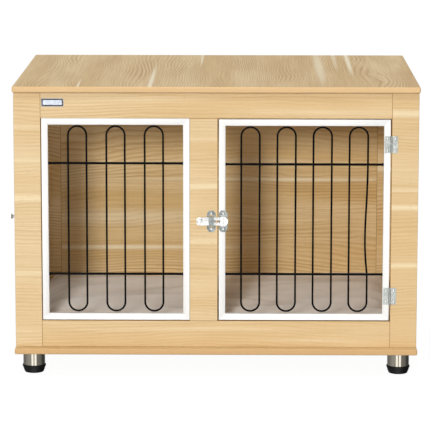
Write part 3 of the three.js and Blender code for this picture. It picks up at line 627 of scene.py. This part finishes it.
def makePanel(name):
    board = startBlock(*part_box(name))
    bpy.ops.object.shade_smooth()
    wrap = board.modifiers.new("wrap", "BEVEL")
    wrap.width = panelEdge["round"]
    wrap.segments = panelEdge["segments"]
    wrap.harden_normals = True
    bpy.ops.object.modifier_apply(modifier=wrap.name)
    board.name = board.data.name = name + "_wrapped"
    dress(board, oakPrints[name])
    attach(board, "carcass")
    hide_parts(name)


for panelName, panelSlot in panels.items():
    makePanel(panelName)
print("stage: panels")

wire = {
    "tube": 12.7 * mm,
    "loop": 3.8 * mm,  # with its powder coat
    "rod": 4.8 * mm,
    "loopWidth": 36.3 * mm,
    "topGap": 1.3 * mm,
    "bottomGap": 3 * mm,
    "setBack": 4.6 * mm,
    "weldBite": 0.6 * mm,
    "upperRodDrop": 77.5 * mm,
    "lowerRodRise": 79 * mm,
    "peg": 6.2 * mm,
    "pegLength": 2.4 * mm,
    "pegEase": 0.4 * mm,
    "bead": 1.5 * mm,
    "beadShape": (1.5, 0.7, 1),
    "beadSeat": 0.45,  # how far back it sits in the crossing, as a share of the loop's thickness
    "bow": 4.4 * mm,  # the last leg of the front door was knocked inwards, below its middle
    "bowSkew": 0.62,  # under 1 puts the deepest place below the middle
    "bowSteps": 24,
    "spinSteps": 20,
    "merge": 0.05 * mm,
    "sides": 20,
}
# the frame and body that each grille belongs to, its number of loops and the gap beside the outer ones
grilles = {
    "window_grille": ("window_frame", "carcass", 3, 39.6 * mm),
    "front_door_grille": ("front_door_frame", "front_door", 4, 31.3 * mm),
    "side_door_grille": ("side_door_frame", "side_door", 4, 42.95 * mm),
}


# one loop: a round section pushed up the right leg, spun over the top, down the left leg and spun under
def makeLoop(x, y, low, high, rods, bow):
    half = wire["loopWidth"] / 2
    deselectAll()
    bpy.ops.mesh.primitive_circle_add(vertices=wire["sides"], radius=wire["loop"] / 2,
                                      location=(x + half, y, low))
    loop = bpy.context.object
    bpy.ops.object.mode_set(mode="EDIT")
    fall = {"value": (0, 0, low - high)}
    heights, shifts = [low], [0]
    for step in range(wire["bowSteps"] + 1 if bow else 0):
        t = step / wire["bowSteps"]
        heights.append(rods[1] + t * (rods[0] - rods[1]))
        shifts.append(-bow * math.sin(math.pi * t ** wire["bowSkew"]) ** 2)
    heights.append(high)
    shifts.append(0)
    for i in range(1, len(heights)):
        rise = (shifts[i] - shifts[i - 1], 0, heights[i] - heights[i - 1])
        bpy.ops.mesh.extrude_region_move(TRANSFORM_OT_translate={"value": rise})
    bpy.ops.mesh.spin(steps=wire["spinSteps"], angle=math.pi, center=(x, y, high), axis=(0, 1, 0))
    bpy.ops.mesh.extrude_region_move(TRANSFORM_OT_translate=fall)
    bpy.ops.mesh.spin(steps=wire["spinSteps"], angle=math.pi, center=(x, y, low), axis=(0, 1, 0))
    bpy.ops.mesh.select_all(action="SELECT")
    bpy.ops.mesh.remove_doubles(threshold=wire["merge"])
    bpy.ops.object.mode_set(mode="OBJECT")
    return loop


# a bead of weld metal in the corner of a crossing, drawn out along the rod
def makeBead(x, y, z):
    deselectAll()
    bpy.ops.mesh.primitive_ico_sphere_add(subdivisions=2, radius=wire["bead"], location=(x, y, z),
                                          scale=wire["beadShape"])
    return bpy.context.object


def makeGrille(nodeName):
    frameNode, body, loops, margin = grilles[nodeName]
    low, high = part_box(frameNode)
    onSide = (high - low).x < (high - low).y
    width = (high - low).y if onSide else (high - low).x
    middle = (low + high) / 2
    insideWidth = width - 2 * wire["tube"]
    insideHeight = (high - low).z - 2 * wire["tube"]
    arcReach = insideHeight / 2 - (wire["loop"] + wire["loopWidth"]) / 2
    pitch = (insideWidth - 2 * margin - wire["loopWidth"]) / (loops - 1)
    rodBack = wire["setBack"] + (wire["loop"] + wire["rod"]) / 2 - wire["weldBite"]
    rodHeights = (insideHeight / 2 - wire["upperRodDrop"], wire["lowerRodRise"] - insideHeight / 2)
    pieces = []
    for i in range(loops):
        x = (i - (loops - 1) / 2) * pitch
        bow = wire["bow"] if nodeName == "front_door_grille" and i == loops - 1 else 0
        ends = wire["bottomGap"] - arcReach, arcReach - wire["topGap"]
        pieces.append(makeLoop(x, wire["setBack"], *ends, rodHeights, bow))
        for z in rodHeights:
            for leg in (-1, 1):
                crossing = x + leg * wire["loopWidth"] / 2
                for side in (-1, 1):
                    beadPlace = wire["setBack"] + wire["beadSeat"] * wire["loop"]
                    pieces.append(makeBead(crossing + side * wire["loop"] / 2, beadPlace, z))
    peg, rod, ease = wire["peg"] / 2, wire["rod"] / 2, wire["pegEase"]
    pegEnd, pegStart = wire["pegLength"], insideWidth - wire["pegLength"]
    profile = [(0, peg), (pegEnd - ease, peg), (pegEnd, peg - ease), (pegEnd, rod),
               (pegStart, rod), (pegStart, peg - ease), (pegStart + ease, peg), (insideWidth, peg)]
    for z in rodHeights:
        pieces.append(turnPiece((-insideWidth / 2, rodBack, z), (1, 0, 0), profile, wire["sides"]))
    grille = joinPieces(pieces)
    pickOut(grille)
    bpy.ops.object.transform_apply(location=True, rotation=True, scale=True)
    if onSide:
        grille.data.transform(Matrix.Rotation(-quarterTurn, 4, "Z"))
        grille.data.transform(Matrix.Translation((low.x, middle.y, middle.z)))
    else:
        grille.data.transform(Matrix.Translation((middle.x, low.y, middle.z)))
    finishPiece(grille, nodeName.replace("grille", "loops"), blackEnamel, body, 50)
    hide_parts(nodeName)


for grilleName in grilles:
    makeGrille(grilleName)
print("stage: wire loops")


tubeFrames = {"window_frame": "carcass", "front_door_frame": "front_door", "side_door_frame": "side_door"}
tubeEase = 0.12 * mm


def makeTubeFrames():
    for name, body in tubeFrames.items():
        piece = easedCopy(name, tubeEase, 1)
        finishPiece(piece, name + "_enamelled", whiteEnamel, body, 40)
        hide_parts(name)


makeTubeFrames()
print("stage: tube frames")

hardware = {
    "ease": 0.15 * mm,
    "plate": 1.2 * mm,
    "strap": 0.9 * mm,
    "hingeSpread": 23 * mm,  # between a leaf's two screws
    "hingeInset": 5.4 * mm,  # from a leaf's free edge
    "latchSpread": 30.4 * mm,
}
bodyOfNode = {n: body for body, members in frame["record"]["behaviour"]["bodies"].items() for n in members}


# the bolt's strokes have rubbed the keeper's strap bright
def polishStrap(piece, facing):
    piece.data.materials.append(nickelPlate)
    front = min(vertex.co[facing] for vertex in piece.data.vertices)
    for face in piece.data.polygons:
        if face.center[facing] < front + hardware["strap"]:
            face.material_index = 1


def makeHardware():
    for name in sorted(nodes):
        isHinge = "_hinge_" in name
        isLatch = "_latch_" in name and not name.endswith("_knob")
        if not (isHinge or isLatch):
            continue
        bright = name.endswith("_bolt")
        piece = easedCopy(name, hardware["ease"])
        material, slot = (nickelPlate, "nickel_plate") if bright else (zincPlate, "zinc_plate")
        if isLatch and not bright:
            material = darkerZinc
        finishPiece(piece, name + "_plated", material, bodyOfNode[name], 40)
        if name.endswith("_keeper"):
            polishStrap(piece, 0 if name.startswith("side") else 1)
        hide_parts(name)


makeHardware()
print("stage: hinges and latches")

# a bare plate with sloping ends and rounded corners
badge = {
    "slope": 2.4 * mm,
    "rim": 0.12 * mm,
    "edge": 0.35 * mm,
    "corner": 1.2 * mm,
    "cornerSteps": 5,
    "skin": 0.1 * mm,  # points this near the front plane belong to the front
}


def makeBadge():
    low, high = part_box("badge_plate")
    plate = startBlock(low, high)
    bpy.ops.object.mode_set(mode="EDIT")
    bpy.ops.mesh.select_all(action="DESELECT")
    bpy.ops.object.mode_set(mode="OBJECT")
    for edge in plate.data.edges:
        a, b = (plate.data.vertices[i].co for i in edge.vertices)
        edge.select = abs((a - b).y) > 0.5 * (high - low).y
    bpy.ops.object.mode_set(mode="EDIT")
    bpy.ops.mesh.bevel(offset=badge["corner"], segments=badge["cornerSteps"])
    bpy.ops.mesh.select_all(action="DESELECT")
    bpy.ops.object.mode_set(mode="OBJECT")
    for face in plate.data.polygons:
        face.select = face.normal.y < -0.9
    bpy.ops.object.mode_set(mode="EDIT")
    bpy.ops.mesh.inset(thickness=badge["slope"])
    bpy.ops.object.mode_set(mode="OBJECT")
    for vertex in plate.data.vertices:
        if vertex.co.y >= low.y + badge["skin"]:
            continue
        fromRim = min(vertex.co.x - low.x, high.x - vertex.co.x, vertex.co.z - low.z, high.z - vertex.co.z)
        if fromRim < 0.8 * badge["slope"]:
            vertex.co.y = high.y - badge["edge"]
        else:
            reach = 1 if vertex.co.z > (low.z + high.z) / 2 else -1
            vertex.co.z += reach * (badge["slope"] - badge["rim"])
    finishPiece(plate, "badge_plate_bare", satinAluminium, "carcass", 10)
    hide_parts("badge_plate")


makeBadge()
print("stage: badge")

# a turned knob with a foot, a neck and a dished head
knob = {
    "width": 11 * mm,
    "neck": 4.6 * mm,
    "foot": 6.8 * mm,
    "footHeight": 0.8 * mm,
    "footEase": 0.25 * mm,
    "rim": 0.6 * mm,
    "rimStep": 0.5 * mm,
    "lipHeight": 0.3 * mm,
    "lipEase": 0.4 * mm,
    "lipWidth": 1.2 * mm,
    "dish": 1.1 * mm,
    "dishSlope": 2.2 * mm,
    "dishFlat": 1.6 * mm,
}


def makeKnob(prefix, outward):
    low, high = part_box(prefix + "_latch_knob")
    middle = (low + high) / 2
    axis = Vector(outward)
    height = abs((high - low).dot(axis))
    start = middle - axis * height / 2
    foot, neck, wide = knob["foot"] / 2, knob["neck"] / 2, knob["width"] / 2
    rise, rim, deep = knob["footHeight"], knob["rim"], knob["dish"]
    profile = [(0, foot), (0.7 * rise, foot), (rise, foot - knob["footEase"]), (2 * rise, neck)]
    flare = [(height / 2 - rise, neck), (height - 2 * rim, wide - knob["rimStep"]), (height - rim, wide)]
    lip = [(height - knob["lipHeight"], wide), (height, wide - knob["lipEase"]),
           (height, wide - knob["lipWidth"])]
    dish = [(height - 0.5 * deep, wide - knob["dishSlope"]), (height - deep, knob["dishFlat"] / 2)]
    piece = turnPiece(start, axis, profile + flare + lip + dish)
    finishPiece(piece, prefix + "_latch_knob_turned", nickelPlate, prefix + "_bolt", 35)
    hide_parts(prefix + "_latch_knob")


makeKnob("front", (0, -1, 0))
makeKnob("side", (-1, 0, 0))
print("stage: knobs")

# raised-head screws with a cross recess, which is cut once; each copy is turned its own way
screw = {
    "head": 5.4 * mm,
    "height": 1.1 * mm,
    "tail": 0.8 * mm,
    "sunk": 0.15 * mm,
    "slot": 0.8 * mm,
    "slotLength": 3 * mm,
    "slotDepth": 0.7 * mm,
    "slotEase": 0.12 * mm,
    "firstTurn": 0.35,
    "nextTurn": 0.9,
    "sides": 32,
}


def makeScrew():
    top, wide = screw["height"], screw["head"] / 2
    profile = [(-screw["tail"], 0.6 * wide), (0, wide), (0.25 * top, wide), (0.6 * top, 0.86 * wide),
               (0.88 * top, 0.62 * wide), (top, 0.3 * wide)]
    piece = turnPiece((0, 0, 0), (0, 0, 1), profile, screw["sides"])
    cutters = []
    for size in ((screw["slotLength"], screw["slot"]), (screw["slot"], screw["slotLength"])):
        deselectAll()
        bpy.ops.mesh.primitive_cube_add(size=1, location=(0, 0, top), scale=(*size, 2 * screw["slotDepth"]))
        cutter = bpy.context.object
        bpy.ops.object.transform_apply(scale=True)
        bpy.ops.object.mode_set(mode="EDIT")
        bpy.ops.mesh.bevel(offset=screw["slotEase"], segments=1)
        bpy.ops.object.mode_set(mode="OBJECT")
        cutters.append(cutter)
    for cutter in cutters:
        recess = piece.modifiers.new("recess", "BOOLEAN")
        recess.operation = "DIFFERENCE"
        recess.object = cutter
        recess.solver = "EXACT"
        pickOut(piece)
        bpy.ops.object.modifier_apply(modifier=recess.name)
        bpy.data.objects.remove(cutter)
    bpy.ops.object.transform_apply(location=True, rotation=True, scale=True)
    return piece


# two to each hinge leaf, near its free edge, and two to each guide and keeper, by the body they ride on
def findScrewPlaces():
    places = {}
    for name in sorted(nodes):
        isLeaf = name.endswith("_leaf")
        if not isLeaf and not name.endswith(("_guide", "_keeper")):
            continue
        along, through = (0, 1) if name.startswith("front") else (1, 0)
        outward = Vector((0, 0, 0))
        outward[through] = -1
        low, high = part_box(name)
        place = (low + high) / 2
        if isLeaf:
            pin = sum(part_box(name.rsplit("_", 2)[0] + "_pin"), Vector()) / 2
            side = 1 if place[along] > pin[along] else -1
            edge = high[along] if side > 0 else low[along]
            place[along] = edge - side * hardware["hingeInset"]
        place[through] = high[through] - (hardware["plate"] - screw["sunk"])
        spread = hardware["hingeSpread"] if isLeaf else hardware["latchSpread"]
        for end in (-1, 1):
            spot = place.copy()
            spot.z += end * spread / 2
            places.setdefault(bodyOfNode[name], []).append((spot, outward))
    return places


def placeScrews():
    master = makeScrew()
    count = 0
    for body, spots in findScrewPlaces().items():
        for number, (spot, outward) in enumerate(spots, 1):
            copy = master.copy()
            copy.data = master.data.copy()
            bpy.context.scene.collection.objects.link(copy)
            turn = Matrix.Rotation(screw["firstTurn"] + screw["nextTurn"] * count, 4, "Z")
            aim = Vector((0, 0, 1)).rotation_difference(outward).to_matrix().to_4x4()
            copy.data.transform(Matrix.Translation(spot) @ aim @ turn)
            finishPiece(copy, f"screw_{body}_{number}", nickelPlate, body, 30)
            count += 1
    bpy.data.objects.remove(master)


placeScrews()
print("stage: screws")

foot = {
    "tube": 43.5 * mm,
    "lip": 0.3 * mm,
    "seatGap": 0.02 * mm,
    "rim": 46.5 * mm,
    "rimHeight": 4 * mm,
    "rimLowEase": (0.4 * mm, 0.3 * mm),  # up the rim's side and in from it
    "rimHighEase": (0.9 * mm, 0.35 * mm),  # down the rim's side and in at the middle of the curve
    "step": 0.8 * mm,
    "tread": 38.4 * mm,
    "bevel": 2 * mm,
    "bulge": 0.4 * mm,
    "stud": 8 * mm,
    "studReach": 14 * mm,
    "studClearance": 0.3 * mm,
    "boreSpare": 1 * mm,
    "pitch": 1.25 * mm,
    "threadDepth": 0.6 * mm,
    "sides": 72,
}


# the cap's threaded stud, which shows when the cap is screwed down; its thread is drawn as rings
def studProfile(top):
    crest = foot["stud"] / 2
    root = crest - foot["threadDepth"]
    profile = [(top, root)]
    for i in range(int(foot["studReach"] / foot["pitch"])):
        z = top + i * foot["pitch"]
        profile += [(z + 0.2 * foot["pitch"], root), (z + 0.55 * foot["pitch"], crest),
                    (z + 0.9 * foot["pitch"], root)]
    return profile


def makeFootTube(corner):
    low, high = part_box("foot_tube_" + corner)
    start = Vector(((low.x + high.x) / 2, (low.y + high.y) / 2, low.z))
    height, wide, lip = high.z - low.z, foot["tube"] / 2, foot["lip"]
    bore = foot["stud"] / 2 + foot["studClearance"]
    profile = [(foot["studReach"] + foot["boreSpare"], bore), (0, bore), (0, wide - lip), (lip, wide),
               (height - lip, wide), (height, wide - lip)]
    tube = turnPiece(start, (0, 0, 1), profile, foot["sides"])
    finishPiece(tube, "foot_tube_" + corner + "_brushed", brushedStainless, "carcass", 35)
    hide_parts("foot_tube_" + corner)


def makeFootCap(corner):
    low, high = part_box("foot_tube_" + corner)
    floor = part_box("foot_cap_" + corner)[0].z
    start = Vector(((low.x + high.x) / 2, (low.y + high.y) / 2, floor))
    top = low.z - floor - foot["seatGap"]
    rim, tread, bevel = foot["rim"] / 2, foot["tread"] / 2, foot["bevel"]
    rimLow = top - foot["rimHeight"]
    neck = rim - foot["step"]
    lowRise, lowIn = foot["rimLowEase"]
    highDrop, highIn = foot["rimHighEase"]
    profile = [(0, tread - bevel), (0.3 * bevel, tread - 0.3 * bevel), (bevel, tread),
               (0.5 * (bevel + rimLow), 0.5 * (tread + neck) + foot["bulge"]), (rimLow, neck),
               (rimLow + lowRise / 4, rim - lowIn), (rimLow + lowRise, rim),
               (top - highDrop, rim), (top - highDrop / 3, rim - highIn), (top, rim - highDrop)]
    cap = turnPiece(start, (0, 0, 1), profile + studProfile(top), foot["sides"])
    finishPiece(cap, "foot_cap_" + corner + "_moulded", blackPlastic, "foot_" + corner, 35)
    cap.data.materials.append(zincPlate)
    for face in cap.data.polygons:
        fromAxis = math.hypot(face.center.x - start.x, face.center.y - start.y)
        if face.center.z > floor + top + foot["seatGap"] / 2 and fromAxis < foot["stud"] / 2:
            face.material_index = 1
    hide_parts("foot_cap_" + corner)


for row in ("front", "rear"):
    for side in ("left", "right"):
        makeFootTube(row + "_" + side)
        makeFootCap(row + "_" + side)
print("stage: feet")

cushion = {
    "drawIn": 2.5 * mm,
    "fullness": 14,  # the higher, the flatter the top and the rounder the edge
    "crown": 0.93,
    "edgeHeight": 0.4,  # of the top above the seam, at its rim, before it is filled
    "smaller": 2 * mm,
    "cuts": 40,
    "voxel": 8 * mm,
    "pressure": 4,
    "slack": -0.025,
    "bending": 0.3,
    "frames": 20,
    "cap": 9 * mm,  # no point swells further than this
    "seam": 21 * mm,
    "seamDepth": 1.8 * mm,
    "seamWidth": 3.2 * mm,
    "topFade": 22 * mm,  # creases and lift fade out over this height, down to the seam
    "creaseEdge": 3.4,  # the higher, the narrower the creases
    "creaseStretch": 4.5,
    "creaseFade": (2.3, 3.1),  # how often they come and go in a metre, sideways and front to back
    "darkest": 9 * mm,  # a crease this deep gets the full painted shade
    "lift": 7 * mm,  # the back right corner rides up a little
    "proud": 4 * mm,  # how far the sides may stand past the CAD block
    "fill": 0.55,
}
# long soft creases: turn from the crate's width, distance apart, depth, seed
creases = ((0.12, 115 * mm, 8 * mm, 3.1), (-0.16, 95 * mm, 6 * mm, 8.7), (0.6, 140 * mm, 3 * mm, 5.5))


# a slightly small pad with a crown and drawn-in sides, from a cube that is subdivided and pushed about
def makePad(low, high):
    middle, half, height = (low + high) / 2, (high - low) / 2, high.z - low.z
    seam, edge, full = cushion["seam"] / height, cushion["edgeHeight"], cushion["fullness"]
    pad = startBlock(low, high)
    bpy.ops.object.mode_set(mode="EDIT")
    bpy.ops.mesh.subdivide(number_cuts=cushion["cuts"])
    bpy.ops.object.mode_set(mode="OBJECT")
    for vertex in pad.data.vertices:
        u = (vertex.co.x - middle.x) / half.x
        v = (vertex.co.y - middle.y) / half.y
        w = (vertex.co.z - low.z) / height
        fullness = math.sqrt(max(0, (1 - abs(u) ** full) * (1 - abs(v) ** full)))
        vertex.co.x -= cushion["smaller"] * u + cushion["drawIn"] * u ** 3 * (1 - v * v)
        vertex.co.y -= cushion["smaller"] * v + cushion["drawIn"] * v ** 3 * (1 - u * u)
        rise = cushion["crown"] * (w - seam) * (edge + (1 - edge) * fullness)
        vertex.co.z = low.z + (seam + rise) * height
    return pad


# the pad swells inside a cover that is a little too large; no point moves further than the cap
def inflate(pad):
    pad.data.remesh_voxel_size = cushion["voxel"]
    pickOut(pad)
    bpy.ops.object.voxel_remesh()
    before = [vertex.co.copy() for vertex in pad.data.vertices]
    cover = pad.modifiers.new("cover", "CLOTH")
    cover.settings.use_pressure = True
    cover.settings.uniform_pressure_force = cushion["pressure"]
    cover.settings.effector_weights.gravity = 0
    cover.settings.shrink_min = cushion["slack"]
    cover.settings.bending_stiffness = cushion["bending"]
    for frameNumber in range(1, cushion["frames"] + 1):
        bpy.context.scene.frame_set(frameNumber)
    bpy.ops.object.modifier_apply(modifier=cover.name)
    bpy.context.scene.frame_set(1)
    for vertex, start in zip(pad.data.vertices, before):
        moved = vertex.co - start
        if moved.length > cushion["cap"]:
            vertex.co = start + moved * (cushion["cap"] / moved.length)
    smooth = pad.modifiers.new("smooth", "SUBSURF")
    smooth.levels = smooth.render_levels = 1
    bpy.ops.object.modifier_apply(modifier=smooth.name)


def creaseDepth(x, y):
    depth = 0
    for turn, apart, deep, seed in creases:
        along = x * math.cos(turn) + y * math.sin(turn)
        across = y * math.cos(turn) - x * math.sin(turn)
        wave = noise.noise(Vector((along / (cushion["creaseStretch"] * apart), across / apart, seed)))
        fadeX, fadeY = cushion["creaseFade"]
        strength = 0.5 + noise.noise(Vector((fadeX * x, fadeY * y, seed + 20)))
        depth += deep * max(0, strength) * max(0, 1 - abs(wave) * cushion["creaseEdge"]) ** 2
    return depth


def makeCushion():
    low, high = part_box("cushion")
    pad = makePad(low, high)
    inflate(pad)
    middle, half = (low + high) / 2, (high - low) / 2
    proud = cushion["proud"]
    # each point keeps how deep its crease is, for the painted shade of the creases
    creaseShade = pad.data.attributes.new("paintedCreaseShade", "FLOAT", "POINT")
    for vertex in pad.data.vertices:
        x, y, z = vertex.co
        onTop = min(1, max(0, (z - low.z - cushion["seam"]) / cushion["topFade"]))
        deep = creaseDepth(x, y) * onTop
        z -= deep
        creaseShade.data[vertex.index].value = min(1, deep / cushion["darkest"])
        u, v = (x - middle.x) / half.x, (y - middle.y) / half.y
        z += cushion["lift"] * onTop * max(0, u) ** 6 * max(0, v) ** 3
        fromSeam = (z - low.z - cushion["seam"]) / cushion["seamWidth"]
        groove = cushion["seamDepth"] * math.exp(-fromSeam ** 2)
        x = min(max(x - groove * u ** 9, low.x - proud), high.x + proud)
        y = min(max(y - groove * v ** 9, low.y - proud), high.y + proud)
        vertex.co = (x, y, max(z, low.z))
    pad.data.update()
    finishPiece(pad, "cushion_cover", brushedPolyester, "carcass", 180)
    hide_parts("cushion")


makeCushion()
print("stage: cushion")

# the ring is what metal mirrors: shades by compass angle round the crate, 0 straight in front and 90 to the
# right
studio = {
    "floor": "#C3C2C0",
    "floorSize": 80,
    "floorDrop": 0.5 * mm,
    "floorGlow": 1.07,
    "floorSeen": 0.9,  # how far the floor is whitened for the camera
    "world": 0.23,
    "key": {"power": 5.65, "place": (-0.855, -5.24, 1.5), "aim": (0, -0.28, 0.34), "size": 0.72},
    "lamps": {  # strength, turn in degrees, angle of the disc
        "high": (0.74, (52, 0, -6), 20),
        "overhead": (1.28, (0, 0, 0), 25),
        "rear": (0.5, (-50, 0, 12), 50),
    },
    "ringLevel": 1.9,
    "ring": ((-180, 0.22), (-125, 0.12), (-100, 0.16), (-60, 0.27), (-27, 0.27), (-23, 1), (-5, 1), (-2, 0.2),
             (5, 0.2), (8, 1), (26, 1), (30, 0.17), (75, 0.13), (100, 0.04), (140, 0.04), (180, 0.22)),
}


def makeFloor():
    deselectAll()
    bpy.ops.mesh.primitive_plane_add(size=studio["floorSize"], location=(0, 0, -studio["floorDrop"]))
    floor = bpy.context.object
    floor.name = floor.data.name = "floor"
    bpy.ops.object.transform_apply(location=True, rotation=True, scale=True)
    floor.visible_glossy = False
    material = bpy.data.materials.new("pale studio floor")
    material.use_nodes = True
    tree = material.node_tree
    tree.nodes.clear()
    rays = addNode(tree, "ShaderNodeLightPath").outputs
    seen = addNode(tree, "ShaderNodeMath", links={0: rays["Is Camera Ray"], 1: rays["Is Transmission Ray"]},
                   operation="MAXIMUM").outputs[0]
    share = addNode(tree, "ShaderNodeMath", {1: studio["floorSeen"]}, {0: seen},
                    operation="MULTIPLY").outputs[0]
    matt = addNode(tree, "ShaderNodeBsdfDiffuse", {"Color": linear(studio["floor"])}).outputs[0]
    glow = addNode(tree, "ShaderNodeEmission",
                   {"Color": (1, 1, 1, 1), "Strength": studio["floorGlow"]}).outputs[0]
    both = addNode(tree, "ShaderNodeMixShader", links={0: share, 1: matt, 2: glow}).outputs[0]
    addNode(tree, "ShaderNodeOutputMaterial", links={"Surface": both})
    dress(floor, material)


def makeLamp(name, strength, turn, angle):
    deselectAll()
    bpy.ops.object.light_add(type="SUN", rotation=[math.radians(a) for a in turn])
    lamp = bpy.context.object
    lamp.name = lamp.data.name = name
    lamp.data.energy = strength
    lamp.data.angle = math.radians(angle)
    lamp.visible_glossy = False


# the key softbox stands beside the camera; its light is kept level with distance, as that of a far larger one
def makeKey():
    look = studio["key"]
    deselectAll()
    bpy.ops.object.light_add(type="AREA", location=look["place"])
    lamp = bpy.context.object
    lamp.name = lamp.data.name = "key"
    lamp.rotation_euler = (Vector(look["aim"]) - Vector(look["place"])).to_track_quat("-Z", "Y").to_euler()
    lamp.data.shape = "DISK"
    lamp.data.size = look["size"]
    lamp.data.energy = look["power"]
    lamp.data.use_nodes = True
    tree = lamp.data.node_tree
    tree.nodes.clear()
    level = addNode(tree, "ShaderNodeLightFalloff", {"Strength": 1}).outputs["Constant"]
    glow = addNode(tree, "ShaderNodeEmission", {"Color": (1, 1, 1, 1)}, {"Strength": level}).outputs[0]
    addNode(tree, "ShaderNodeOutputLight", links={"Surface": glow})
    lamp.visible_glossy = False


def makeWorld():
    world = bpy.data.worlds.new("studio")
    bpy.context.scene.world = world
    world.use_nodes = True
    tree = world.node_tree
    tree.nodes.clear()
    rays = addNode(tree, "ShaderNodeLightPath").outputs
    aim = addNode(tree, "ShaderNodeTexCoord").outputs["Generated"]
    aim = addNode(tree, "ShaderNodeSeparateXYZ", links={0: aim}).outputs
    ahead = addNode(tree, "ShaderNodeMath", {1: -1}, {0: aim["Y"]}, operation="MULTIPLY").outputs[0]
    compass = addNode(tree, "ShaderNodeMath", links={0: aim["X"], 1: ahead}, operation="ARCTAN2").outputs[0]
    share = addNode(tree, "ShaderNodeMapRange", {"From Min": -math.pi, "From Max": math.pi},
                    {"Value": compass}).outputs[0]
    ring = addNode(tree, "ShaderNodeValToRGB", links={0: share})
    stops = ring.color_ramp.elements
    for degrees, shade in studio["ring"][1:-1]:
        stops.new((degrees + 180) / 360).color = (shade, shade, shade, 1)
    for stop, shade in ((stops[0], studio["ring"][0][1]), (stops[-1], studio["ring"][-1][1])):
        stop.color = (shade, shade, shade, 1)
    mirrored = addNode(tree, "ShaderNodeBackground", {"Strength": studio["ringLevel"]},
                       {"Color": ring.outputs[0]}).outputs[0]
    level = addNode(tree, "ShaderNodeMapRange", {"To Min": studio["world"], "To Max": 1},
                    {"Value": rays["Is Camera Ray"]}).outputs[0]
    plain = addNode(tree, "ShaderNodeBackground", {"Color": (1, 1, 1, 1)}, {"Strength": level}).outputs[0]
    both = addNode(tree, "ShaderNodeMixShader",
                   links={0: rays["Is Glossy Ray"], 1: plain, 2: mirrored}).outputs[0]
    addNode(tree, "ShaderNodeOutputWorld", links={"Surface": both})


makeFloor()
makeKey()
for lampName, lampLook in studio["lamps"].items():
    makeLamp(lampName, *lampLook)
makeWorld()
bpy.context.scene.view_settings.view_transform = "Standard"
print("stage: studio")
